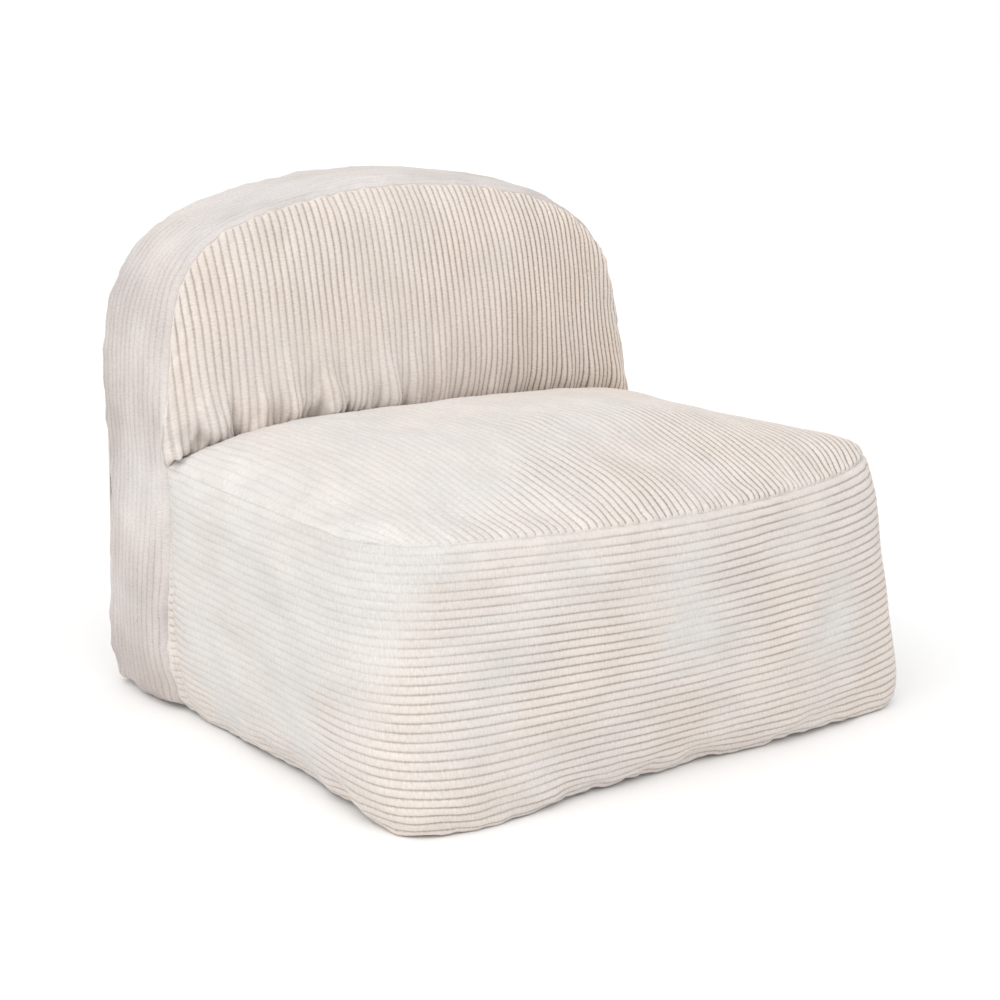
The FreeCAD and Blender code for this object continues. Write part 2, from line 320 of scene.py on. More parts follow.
@dataclass
class Panel:
    """One cut piece of the cover: its start shape and its place on the flat cloth, as grids."""

    name: str
    start: Array
    flat: Array
    inside: Array
    index: Array = field(default_factory=lambda: np.zeros((0, 0), int))
    shape: Array = field(default_factory=lambda: np.zeros((0, 0, 3)))
    lift: Array = field(default_factory=lambda: np.zeros((0, 0, 3)))

    @property
    def turned(self) -> bool:
        """Whether the grid's own normals point into the chair."""
        normals = grid_normals(self.start)
        return float(np.sum(normals * (self.start - self.inside))) < 0.0


@dataclass
class CoverPattern:
    """Sizes of the cover, and its seven panels before they are filled."""

    seam_height: float
    crease: float
    rear_seam: float
    rear: float
    top: float
    half: float
    front: float
    columns: int = 62
    side_rows: int = 38
    band_rows: int = 26
    gusset_columns: int = 13
    shoulder_rows: int = 22
    arch_cells: int = 240
    front_arch: tuple[tuple[float, float], ...] = (
        (0.382, 0.38), (0.371, 0.45), (0.351, 0.53), (0.303, 0.592), (0.230, 0.636), (0.120, 0.660),
        (0.0, 0.667))
    rear_arch: tuple[tuple[float, float], ...] = (
        (0.389, 0.38), (0.388, 0.45), (0.374, 0.53), (0.325, 0.597), (0.240, 0.640), (0.125, 0.662),
        (0.0, 0.670))
    seat_crown: float = 0.045
    dome_share: float = 0.6
    front_crown: float = 0.045
    belly: float = 0.014
    belly_ends: float = 6.0
    leg_bow: float = 0.004
    low_bulge: float = 0.7
    foot_roll: int = 8

    @classmethod
    def from_frame(cls) -> "CoverPattern":
        """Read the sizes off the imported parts."""
        band_low, band_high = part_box("seat_boxing_band")
        _, gusset_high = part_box("backrest_gusset")
        rear_low, rear_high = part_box("rear_upper_panel")
        return cls(
            seam_height=band_high.z,
            crease=band_high.y,
            rear_seam=rear_low.y + 0.002,
            rear=rear_high.y,
            top=gusset_high.z - 0.010,
            half=gusset_high.x,
            front=band_low.y,
        )

    def top_outline(self) -> Outline:
        """Seam between the seat top and the boxing band."""
        return Outline(side=self.half + 0.016, rear_half=self.half, rear=self.crease,
                       front=self.front + 0.014, bow=0.050, radius=0.105, side_bow=0.004)

    def base_outline(self) -> Outline:
        """Seam between the base and the boxing band, with near-square front corners."""
        return Outline(side=self.half + 0.012, rear_half=self.half - 0.022, rear=self.crease,
                       front=self.front + 0.030, bow=0.014, radius=0.034, side_bow=0.0)

    @property
    def seat_inside(self) -> Array:
        """A place in the middle of the seat."""
        return np.array([0.0, (self.front + self.crease) / 2, self.seam_height / 2])

    @property
    def back_inside(self) -> Array:
        """A place in the middle of the backrest."""
        return np.array([0.0, (self.crease + self.rear_seam) / 2, self.top / 2])

    def ring(self, outline: Outline, height: float) -> Array:
        """Left junction, along the left side, round the front and back to the right junction."""
        side, front = outline.halves()
        side = resample(side, self.side_rows)
        whole_front = resample(np.concatenate([front, mirrored(front)[1:]]), self.columns)
        path = np.concatenate([side, whole_front[1:], mirrored(side)[1:]])[::-1]
        return np.column_stack([path, np.full(len(path), height)])

    def crease_line(self) -> Array:
        """Seam at the foot of the backrest's front panel, left to right."""
        x = np.linspace(-self.half, self.half, self.columns + 1)
        share = np.clip(1 - (x / self.half) ** 2, 0.0, 1.0)
        y = self.crease - self.front_crown * share
        z = self.seam_height + self.seat_crown * share ** 0.6
        return np.column_stack([x, y, z])

    def arch(self, depth: float, half_outline: tuple[tuple[float, float], ...]
             ) -> tuple[Array, Array]:
        """Arch seam at one depth.

        Args:
            depth: its place from front to rear.
            half_outline: right half from the seat seam up to the middle of the top.

        Returns:
            Left side from the seat seam to the shoulder, and the top from there to the right one.
        """
        rises = np.array([(self.half, self.seam_height), *half_outline])
        line = smooth_line(np.concatenate([rises, rises[-2:-3:-1] * [-1, 1]]))
        line = resample(line[:np.argmax(line[:, 0] < 1e-6) + 1], self.arch_cells)
        line[-1, 0] = 0.0
        slope = np.gradient(line, axis=0)
        split = int(np.argmax(-slope[:, 0] > slope[:, 1] + 1e-9))
        side = resample(line[:split + 1], self.shoulder_rows)
        over = line[split:]
        over = resample(np.concatenate([over, mirrored(over)[1:]]), self.columns)[::-1]
        side[:, 0] *= -1.0
        lift = lambda path: np.column_stack([path[:, 0], np.full(len(path), depth), path[:, 1]])
        return lift(side), lift(over)

    def legs(self, depth: float, foot_half: float) -> Array:
        """Left edge of the gusset from the floor to the seat seam, rolled under at its foot."""
        z = np.linspace(0.0, self.seam_height, self.band_rows + 1)
        share = z / self.seam_height
        bow = self.leg_bow * np.sin(math.pi * share ** self.low_bulge)
        x = -self.half - bow + (self.half - foot_half) * (1 - share) ** self.foot_roll
        return np.column_stack([x, np.full(len(z), depth), z])

    def panels(self) -> list[Panel]:
        """All panels, with neighbours sharing their seam's points."""
        rows, columns = self.side_rows, self.columns
        seam = self.ring(self.top_outline(), self.seam_height)
        foot = self.ring(self.base_outline(), 0.0)
        crease = self.crease_line()
        front_side, front_top = self.arch(self.crease, self.front_arch)
        rear_side, rear_top = self.arch(self.rear_seam, self.rear_arch)
        foot_half = -foot[0, 0]
        front_leg = self.legs(self.crease, foot_half)
        rear_leg = self.legs(self.rear_seam, foot_half)

        # seat top: rows run from the front to the crease
        left, right = seam[:rows + 1][::-1], seam[rows + columns:]
        front = seam[rows:rows + columns + 1]
        seat = coons(front, crease, left, right)
        seat[:, :, 2] += self.dome(seat) * (seat[:, :, 1] < self.crease)
        seat_flat = self.flat_plan(left, front, right, crease)

        # boxing band: rows run from the base to the seat seam
        share = np.linspace(0.0, 1.0, self.band_rows + 1)[:, None, None]
        band = (1 - share) * foot[None] + share * seam[None]
        band[:, 0], band[:, -1] = front_leg, self.right_of(front_leg)
        outward = unit(np.cross(np.gradient(seam, axis=0), [0.0, 0.0, -1.0]))
        if np.sum(outward * (seam - self.seat_inside)) < 0:
            outward = -outward
        swell = self.belly * np.sin(math.pi * share[:, :, 0] ** self.low_bulge)
        steps = np.arange(band.shape[1])
        edge = np.minimum(1.0, np.minimum(steps, steps[::-1]) / self.belly_ends)
        band = band + outward[None] * (swell * edge[None, :])[:, :, None]
        tall = np.linspace(0.0, self.seam_height, self.band_rows + 1)
        band_flat = np.stack(np.meshgrid(lengths_along(seam), tall), axis=-1)

        # backrest front
        front_right = self.right_of(front_side)
        face = coons(crease, front_top, front_side, front_right)
        face[:, :, 1] -= self.face_crown(face)
        level = crease[:, [0, 2]] * [1, 0] + [0, self.seam_height]
        others = (front_top, front_side, front_right)
        face_flat = coons(level, *(line[:, [0, 2]] for line in others))

        # rear panel
        rear_left = np.concatenate([rear_leg, rear_side[1:]])
        rear_foot = np.linspace(rear_leg[0], self.right_of(rear_leg)[0], columns + 1)
        rear = coons(rear_foot, rear_top, rear_left, self.right_of(rear_left))
        rear_flat = rear[:, :, [0, 2]].copy()
        rear[:, :, 1] += self.rear_swell(rear)

        # gusset: rows run over the arch, columns from the front seam to the rear seam
        front_edge = self.over_arch(front_leg, front_side, front_top)
        rear_edge = self.over_arch(rear_leg, rear_side, rear_top)
        share = np.linspace(0.0, 1.0, self.gusset_columns + 1)[None, :, None]
        gusset = (1 - share) * front_edge[:, None] + share * rear_edge[:, None]
        wide = np.linspace(0.0, self.rear_seam - self.crease, self.gusset_columns + 1)
        gusset_flat = np.stack(np.meshgrid(wide, lengths_along(front_edge)), axis=-1)

        # base: rows run from the front to the rear
        base_left = np.concatenate([foot[:rows + 1][::-1], gusset[0][1:]])
        base_right = self.right_of(base_left)
        base = coons(foot[rows:rows + columns + 1], rear[0], base_left, base_right)
        return [
            Panel("seat_top_panel", seat, seat_flat, self.seat_inside),
            Panel("seat_boxing_band", band, band_flat, self.seat_inside),
            Panel("backrest_front_panel", face, face_flat, self.back_inside),
            Panel("rear_panel", rear, rear_flat, self.back_inside),
            Panel("backrest_gusset", gusset, gusset_flat, self.back_inside),
            Panel("base_panel", base, base[:, :, :2].copy(), self.seat_inside),
        ]

    @staticmethod
    def right_of(left: Array) -> Array:
        """The matching line on the right, in the same order."""
        return left * np.array([-1.0, 1.0, 1.0])

    def over_arch(self, leg: Array, side: Array, top: Array) -> Array:
        """One edge of the gusset: up its left leg and side, over the top and down to the right."""
        down = [self.right_of(part)[::-1][1:] for part in (side, leg)]
        return np.concatenate([leg, side[1:], top[1:], *down])

    def dome(self, seat: Array) -> Array:
        """Rise of the seat top above the flat between its seams."""
        u, v = shares(seat)
        across, along = (4 * u * (1 - u)) ** 0.6, np.sin(math.pi * v) ** 0.8
        return self.seat_crown * self.dome_share * across * along

    def face_crown(self, face: Array) -> Array:
        """How far the backrest's front swells ahead of the flat between its seams."""
        u, v = shares(face)
        return self.front_crown * 4 * u * (1 - u) * (v - v ** 2.5)

    def rear_swell(self, rear: Array) -> Array:
        """How far the rear panel swells behind its seam, almost fully a little way in."""
        u, v = shares(rear)
        across, along = np.minimum(1.0, 7 * u * (1 - u)) ** 0.7, np.minimum(1.0, 3 * (1 - v)) ** 0.7
        return (self.rear - self.rear_seam) * across * along

    def flat_plan(self, left: Array, front: Array, right: Array, crease: Array) -> Array:
        """Seat top's cut shape: straight sides, the same front, and a straight rear edge."""
        limits = (-self.half, self.half)
        squared = lambda line: np.column_stack([np.clip(line[:, 0], *limits), line[:, 1]])
        rear = np.column_stack([crease[:, 0], np.full(len(crease), self.crease)])
        return coons(squared(front), rear, squared(left), squared(right))


@dataclass(frozen=True)
class Spot:
    """A place where the cover stands out or dips."""

    place: Place
    reach: float
    move: Place

    def shift(self, points: Array) -> Array:
        """How far each point moves."""
        away = np.linalg.norm(points - np.array(self.place), axis=1)
        return bell(away, self.reach)[:, None] * np.array(self.move)


@dataclass(frozen=True)
class FootFolds:
    """Upright folds where the backrest is squeezed against the seat, deeper on the left."""

    spacing: float = 0.048
    sway: float = 1.5
    sway_rate: float = 9.0
    slant: float = 7.0
    least: float = 0.30
    reach: float = 0.062
    start: float = 0.016
    depth: float = 0.0090
    second: float = 0.4
    roll: float = 0.0080
    roll_rise: float = 0.030
    aside: float = 0.0060

    def at(self, x: Array, rise: Array) -> tuple[Array, Array]:
        """The folds at some points of the backrest's front.

        Args:
            x: the points' places from left to right.
            rise: their heights above the crease.

        Returns:
            How far each point stands out, and how far it moves sideways.
        """
        sway = self.sway * np.sin(x * self.sway_rate)
        phase = x * 2 * math.pi / self.spacing + sway + rise * self.slant
        left = self.least + (1 - self.least) * smooth_step((0.06 - x) / 0.20)
        low = np.exp(-(np.maximum(rise, 0.0) / self.reach) ** 2) * smooth_step(rise / self.start)
        roll = bell(rise - self.roll_rise, self.roll_rise) * smooth_step((0.05 - x) / 0.20)
        waves = np.sin(phase) + self.second * np.sin(phase * 2.3 + 1.0)
        out = self.roll * roll + self.depth * left * waves * low
        return out, self.aside * left * np.cos(phase * 0.6 + 0.7) * low


@dataclass
class FilledCover:
    """The sewn cover blown up by its filling: one welded shell, run as cloth under pressure."""

    pattern: CoverPattern
    pressure: float = 4.5
    frames: int = 28
    seam_shrink: float = 0.03
    seam_hold: float = 0.5
    hold: dict[str, float] = field(default_factory=lambda: {
        "seat_top_panel": 0.0, "seat_boxing_band": 0.03, "backrest_front_panel": 0.0,
        "rear_panel": 0.35, "backrest_gusset": 0.06, "base_panel": 1.0,
    })
    fullness: dict[str, tuple[float, float]] = field(default_factory=lambda: {
        "seat_top_panel": (0.016, 0.042), "seat_boxing_band": (0.013, 0.028),
        "backrest_front_panel": (0.016, 0.032), "rear_panel": (0.006, 0.030),
        "backrest_gusset": (0.010, 0.022), "base_panel": (0.0, 1.0),
    })
    folds: FootFolds = FootFolds()
    swells: Ripple = Ripple(2, 0.20, 0.50, 0.0026)
    dents: Ripple = Ripple(3, 0.06, 0.14, 0.0005)
    puckers: Ripple = Ripple(4, 0.032, 0.075, 0.0011)
    pucker_reach: float = 0.030
    hem_waves: Ripple = Ripple(6, 0.045, 0.11, 0.0024)
    hem_height: float = 0.022
    hem_lift: float = 0.0040
    hem_reach: float = 0.055
    crease_back: float = 0.005
    crease_down: float = 0.014
    lean_left: float = 0.016
    lean_lost_rear: float = 0.62
    zip_height: float = 0.095
    zip_band: float = 0.105
    zip_half: float = 0.345
    spots: tuple[Spot, ...] = (
        Spot((-0.33, 0.188, 0.585), 0.100, (-0.012, 0.0, 0.014)),
        Spot((0.20, 0.270, 0.670), 0.150, (0.0, 0.0, -0.005)),
        Spot((0.40, 0.080, 0.330), 0.130, (0.0, 0.0, -0.015)),
        Spot((0.38, -0.250, 0.325), 0.080, (0.008, 0.0, 0.009)),
        Spot((0.41, -0.200, 0.230), 0.120, (0.009, -0.003, 0.0)),
        Spot((0.405, -0.310, 0.010), 0.060, (0.015, -0.004, 0.0)),
        Spot((0.25, -0.345, 0.0), 0.110, (0.0, -0.010, 0.0)),
        Spot((-0.31, -0.345, 0.0), 0.110, (0.004, -0.024, -0.004)),
        Spot((0.02, -0.350, 0.0), 0.090, (0.0, 0.006, 0.0)),
        Spot((-0.40, -0.120, 0.0), 0.110, (0.007, 0.0, 0.004)),
        Spot((-0.39, 0.290, 0.020), 0.085, (-0.014, 0.0, 0.0)),
        Spot((-0.40, 0.188, 0.100), 0.100, (-0.012, -0.007, 0.0)),
        Spot((-0.22, 0.170, 0.360), 0.100, (0.0, 0.0, 0.008)),
    )
    panels: list[Panel] = field(default_factory=list)

    def panel(self, name: str) -> Panel:
        """The panel with that name."""
        return next(panel for panel in self.panels if panel.name == name)

    def weld(self) -> tuple[Array, list[tuple[int, ...]], Array]:
        """Sew the panels together at equal places.

        Returns:
            The points, the faces, and how many panels share each point.
        """
        points, numbers = sewn([panel.start for panel in self.panels])
        owners = np.zeros((len(points), len(self.panels)), bool)
        faces: list[tuple[int, ...]] = []
        for place, (panel, index) in enumerate(zip(self.panels, numbers)):
            panel.index = index
            owners[index, place] = True
            quads = cells_of(index)[:, ::-1] if panel.turned else cells_of(index)
            faces += [tuple(quad) for quad in quads.tolist() if len(set(quad)) == 4]
        return points, faces, owners.sum(axis=1)

    @staticmethod
    def mark(group: bpy.types.VertexGroup, index: Array, weight: float) -> None:
        """Give some points a weight in a group."""
        group.add(np.unique(index).tolist(), weight, "REPLACE")

    def simulate(self) -> None:
        """Blow the cover up and keep each panel's finished grid and outward directions."""
        self.panels = self.pattern.panels()
        points, faces, owners = self.weld()
        mesh = bpy.data.meshes.new("filled_cover")
        mesh.from_pydata(points.tolist(), [], faces)
        shell = bpy.data.objects.new("filled_cover", mesh)
        bpy.context.scene.collection.objects.link(shell)
        held = shell.vertex_groups.new(name="held")
        seams = shell.vertex_groups.new(name="seams")
        shared = np.nonzero(owners > 1)[0]
        self.mark(seams, shared, 1.0)
        for panel in self.panels:
            self.mark(held, panel.index, self.hold[panel.name])
        self.mark(held, shared, self.seam_hold)
        self.mark(held, self.panel("base_panel").index, 1.0)
        self.mark(held, self.panel("seat_top_panel").index[-1], 1.0)
        self.blow_up(shell)
        evaluated = shell.evaluated_get(bpy.context.evaluated_depsgraph_get())
        final = bpy.data.meshes.new_from_object(evaluated)
        directions = lambda: np.array([v.normal for v in final.vertices], float)
        points = self.settle(points_of(final).astype(float), directions())
        final.vertices.foreach_set("co", points.reshape(-1))
        final.update()
        normals = directions()
        for panel in self.panels:
            panel.shape = points[panel.index]
            panel.lift = normals[panel.index]
        bpy.data.objects.remove(shell)
        bpy.context.scene.frame_set(1)

    def blow_up(self, shell: bpy.types.Object) -> None:
        """Run the cloth from its cut shape to its filled one."""
        cloth = shell.modifiers.new("Filling", "CLOTH")
        cloth.point_cache.frame_start = 1
        cloth.point_cache.frame_end = self.frames
        settings = cloth.settings
        settings.quality = 6
        settings.mass = 0.4
        settings.tension_stiffness = 18.0
        settings.compression_stiffness = 18.0
        settings.shear_stiffness = 8.0
        settings.bending_stiffness = 2.0
        settings.air_damping = 4.0
        settings.use_pressure = True
        settings.uniform_pressure_force = self.pressure
        settings.effector_weights.gravity = 0.0
        settings.vertex_group_mass = "held"
        settings.pin_stiffness = 4.0
        settings.vertex_group_shrink = "seams"
        settings.shrink_min = 0.0
        settings.shrink_max = self.seam_shrink
        cloth.collision_settings.use_collision = False
        scene = bpy.context.scene
        for step in range(1, self.frames + 1):
            scene.frame_set(step)

    def seam_distances(self, count: int) -> Array:
        """Distance of each welded point from the nearest seam of its own panel."""
        distance = np.zeros(count)
        for panel in self.panels:
            nearest = loop_distances(panel.flat.reshape(-1, 2), outline_of(panel.flat))
            distance[panel.index.reshape(-1)] = nearest
        for panel in self.panels:
            distance[outline_of(panel.index[..., None])[:, 0]] = 0.0
        return distance

    def settle(self, points: Array, normals: Array) -> Array:
        """Finish the blown-up cover: round its edges, lean it, crease it and stand it on the floor.

        Args:
            points, normals: the welded cover after the simulation.

        Returns:
            The finished points.
        """
        distance = self.seam_distances(len(points))
        full, reach = np.zeros(len(points)), np.ones(len(points))
        for panel in self.panels:
            full[panel.index], reach[panel.index] = self.fullness[panel.name]
        push = full * (1 - np.exp(-distance / reach)) * (1 - 0.25 * bell(distance - 0.16, 0.1))
        away = smooth_step(distance / 0.05)
        near = np.exp(-distance / self.pucker_reach) * smooth_step(distance / 0.012)
        push = push + (self.swells.at(points) + self.dents.at(points)) * away
        push = push + self.puckers.at(points) * near
        folds, aside = self.foot_folds(points)
        hem = bell(points[:, 2] - self.hem_height, self.hem_height)
        push = push + folds + self.hem_waves.at(points) * hem
        push[self.panel("base_panel").index.reshape(-1)] = 0.0
        points = points + normals * push[:, None]
        points[:, 0] += aside
        self.deepen_crease(points)
        for spot in self.spots:
            points = points + spot.shift(points)
        points = points + self.lean(points)
        self.lift_hem(points)
        points = self.flatten_rear(points)
        points[:, 2] = np.maximum(points[:, 2], 0.0)
        return points

    def foot_folds(self, points: Array) -> tuple[Array, Array]:
        """Lay the folds on the foot of the backrest's front.

        Args:
            points: the welded cover.

        Returns:
            How far each point stands out, and how far it moves sideways.
        """
        pattern = self.pattern
        folds, aside = np.zeros(len(points)), np.zeros(len(points))
        index = self.panel("backrest_front_panel").index.reshape(-1)
        x, _, z = points[index].T
        crown = pattern.seat_crown * np.clip(1 - (x / pattern.half) ** 2, 0.0, 1.0)
        folds[index], aside[index] = self.folds.at(x, z - pattern.seam_height - crown)
        return folds, aside

    def deepen_crease(self, points: Array) -> None:
        """Pull the seam between seat and backrest down into its crease, furthest at the left."""
        row = self.panel("seat_top_panel").index[-1]
        share = np.clip(1 - (np.abs(points[row, 0]) / self.pattern.half) ** 3, 0.0, 1.0)
        pull = share * (0.7 + 0.5 * smooth_step(-points[row, 0] / 0.2))
        points[row, 1] += self.crease_back * pull
        points[row, 2] -= self.crease_down * pull

    def lift_hem(self, points: Array) -> None:
        """Let the hem rise off the floor here and there and crumple a little above it."""
        index = self.panel("base_panel").index
        inner = np.ones(len(points))
        inner[index.reshape(-1)] = bell(steps_from_rim(index).reshape(-1), 2.0)
        low = smooth_step((self.hem_reach - points[:, 2]) / self.hem_reach) * inner
        height = np.clip(0.35 + Ripple(8, 0.09, 0.24, 0.55).at(points * [1, 1, 0]), 0.0, 1.2)
        points[:, 2] += self.hem_lift * low * height

    def lean(self, points: Array) -> Array:
        """The backrest's slight shift to the left of the seat."""
        _, y, z = points.T
        crease, rear_seam = self.pattern.crease, self.pattern.rear_seam
        up = smooth_step((z - 0.26) / 0.22)
        ahead = smooth_step((y - 0.02) / 0.17)
        rear = 1 - self.lean_lost_rear * smooth_step((y - crease) / (rear_seam - crease))
        shift = np.zeros_like(points)
        shift[:, 0] = -self.lean_left * up * ahead * rear
        return shift

    def flatten_rear(self, points: Array) -> Array:
        """Hold the rear panel in its flat plane around the zip."""
        rear = self.panel("rear_panel")
        index = rear.index.reshape(-1)
        x, z = rear.flat.reshape(-1, 2).T
        along = smooth_step((self.zip_half - np.abs(x)) / 0.05)
        share = smooth_step((self.zip_band - np.abs(z - self.zip_height)) / 0.07) * along
        plane = np.column_stack([x, np.full(len(x), self.pattern.rear), z])
        points[index] += (plane - points[index]) * share[:, None]
        return points


# ---------------------------------------------------------------- meshes and node trees

def points_of(mesh: bpy.types.Mesh) -> Array:
    """A mesh's points, one row each."""
    points = np.zeros(len(mesh.vertices) * 3, np.float32)
    mesh.vertices.foreach_get("co", points)
    return points.reshape(-1, 3)


def enrol(piece: bpy.types.Object, slot: "Slot", node: str = "", body: str = "chair") -> None:
    """Hang a piece on the empty of the body it rides on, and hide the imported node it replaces."""
    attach(piece, body)
    if node:
        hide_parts(node)


def plain_mesh(name: str, points: Array, faces: list[Array], flat: Array | None = None,
               values: dict[str, Array] | None = None) -> bpy.types.Object:
    """Make an object from arrays.

    Args:
        name: the object's name.
        points: one row per point.
        faces: arrays of equal-sided faces.
        flat: each point's place on the cut cloth, for the UV map "cloth".
        values: point attributes by name, one number or one vector per point.

    Returns:
        The object, smooth shaded and linked to the scene.
    """
    mesh = bpy.data.meshes.new(name)
    loops = np.concatenate([face.reshape(-1) for face in faces]).astype(np.int32)
    sizes = np.concatenate([np.full(len(face), face.shape[1]) for face in faces]).astype(np.int32)
    starts = np.concatenate([[0], np.cumsum(sizes)[:-1]]).astype(np.int32)
    mesh.vertices.add(len(points))
    mesh.vertices.foreach_set("co", np.ascontiguousarray(points, np.float32).reshape(-1))
    mesh.loops.add(len(loops))
    mesh.loops.foreach_set("vertex_index", loops)
    mesh.polygons.add(len(sizes))
    mesh.polygons.foreach_set("loop_start", starts)
    mesh.polygons.foreach_set("use_smooth", np.ones(len(sizes), bool))
    if flat is not None:
        layer = mesh.uv_layers.new(name="cloth")
        layer.data.foreach_set("uv", np.ascontiguousarray(flat[loops], np.float32).reshape(-1))
    for key, value in (values or {}).items():
        kind, kept = ("FLOAT_VECTOR", "vector") if value.ndim == 2 else ("FLOAT", "value")
        attribute = mesh.attributes.new(key, kind, "POINT")
        attribute.data.foreach_set(kept, np.ascontiguousarray(value, np.float32).reshape(-1))
    mesh.update(calc_edges=True)
    piece = bpy.data.objects.new(name, mesh)
    bpy.context.scene.collection.objects.link(piece)
    return piece


class NodeBench:
    """Short ways to add nodes to a tree and join them."""

    def __init__(self, tree: bpy.types.NodeTree) -> None:
        """Take the tree to work on."""
        self.tree = tree

    def put(self, kind: str, *feeds: object, **settings: object) -> bpy.types.Node:
        """Add a node.

        Args:
            kind: the node's type name.
            feeds: for each input in order, a socket to join, a plain value, or None to leave it.
            settings: the node's own properties.

        Returns:
            The new node.
        """
        node = self.tree.nodes.new(kind)
        for key, value in settings.items():
            setattr(node, key, value)
        for number, feed in enumerate(feeds):
            self.feed(node.inputs[number], feed)
        return node

    def feed(self, socket: Socket, value: object) -> None:
        """Join a socket to another or give it a value."""
        if isinstance(value, Socket):
            self.tree.links.new(value, socket)
        elif value is not None:
            socket.default_value = value

    def fill(self, node: bpy.types.Node, feeds: dict[str, object]) -> Socket:
        """Feed a node's inputs by name, and hand back its first output."""
        for name, feed in feeds.items():
            self.feed(node.inputs[name], feed)
        return node.outputs[0]

    def maths(self, operation: str, *feeds: object, clamp: bool = False) -> Socket:
        """Result of a Math node."""
        return self.put("ShaderNodeMath", *feeds, operation=operation, use_clamp=clamp).outputs[0]

    def times(self, first: object, second: object) -> Socket:
        """Product of two values."""
        return self.maths("MULTIPLY", first, second)

    def plus(self, first: object, second: object, clamp: bool = False) -> Socket:
        """Sum of two values."""
        return self.maths("ADD", first, second, clamp=clamp)

    def minus(self, first: object, second: object) -> Socket:
        """Difference of two values."""
        return self.maths("SUBTRACT", first, second)

    def vector(self, operation: str, *feeds: object) -> Socket:
        """Result of a Vector Math node."""
        return self.put("ShaderNodeVectorMath", *feeds, operation=operation).outputs[0]

    def attribute(self, name: str, kind: str = "FLOAT") -> Socket:
        """A named attribute, in a geometry tree."""
        return self.put("GeometryNodeInputNamedAttribute", name, data_type=kind).outputs[0]


class GeometryRecipe:
    """A Geometry Nodes tree with named inputs, run once on a piece and kept as a plain mesh."""

    def __init__(self, name: str, inputs: dict[str, tuple[str, object]]) -> None:
        """Start the tree.

        Args:
            name: the tree's name.
            inputs: socket type and value of each named input.
        """
        self.tree = bpy.data.node_groups.new(name, "GeometryNodeTree")
        self.inputs = inputs
        face = self.tree.interface
        face.new_socket("Geometry", in_out="OUTPUT", socket_type="NodeSocketGeometry")
        face.new_socket("Geometry", in_out="INPUT", socket_type="NodeSocketGeometry")
        self.keys = {key: face.new_socket(key, in_out="INPUT", socket_type=kind).identifier
                     for key, (kind, _) in inputs.items()}
        self.bench = NodeBench(self.tree)
        self.entry = self.bench.put("NodeGroupInput")
        self.exit = self.bench.put("NodeGroupOutput")

    def socket(self, name: str) -> Socket:
        """A named input's socket inside the tree."""
        return self.entry.outputs[name]

    def end(self, geometry: bpy.types.NodeSocket) -> None:
        """Close the tree with Realize Instances and Set Material."""
        whole = self.bench.put("GeometryNodeRealizeInstances", geometry).outputs[0]
        dressed = self.bench.put("GeometryNodeSetMaterial", whole)
        self.tree.links.new(self.socket("Material"), dressed.inputs["Material"])
        self.tree.links.new(dressed.outputs[0], self.exit.inputs[0])

    def bake(self, piece: bpy.types.Object) -> bpy.types.Object:
        """Run the tree on a piece and keep the result as its plain mesh."""
        modifier = piece.modifiers.new(self.tree.name, "NODES")
        modifier.node_group = self.tree
        for key, (_, value) in self.inputs.items():
            modifier[self.keys[key]] = value
        piece.update_tag()
        graph = bpy.context.evaluated_depsgraph_get()
        result = bpy.data.meshes.new_from_object(piece.evaluated_get(graph), depsgraph=graph,
                                                 preserve_all_data_layers=True)
        piece.modifiers.remove(modifier)
        result.name = piece.name
        piece.data = result
        return piece


# ---------------------------------------------------------------- finishes

class Slot(Enum):
    """The record's material slots."""

    CORDUROY = "cover_corduroy"
    BASE = "base_cloth"
    LINER = "liner_cloth"
    BEADS = "bead_fill"
    TAPE = "zip_tape"
    TEETH = "zip_teeth"
    METAL = "zip_metal"


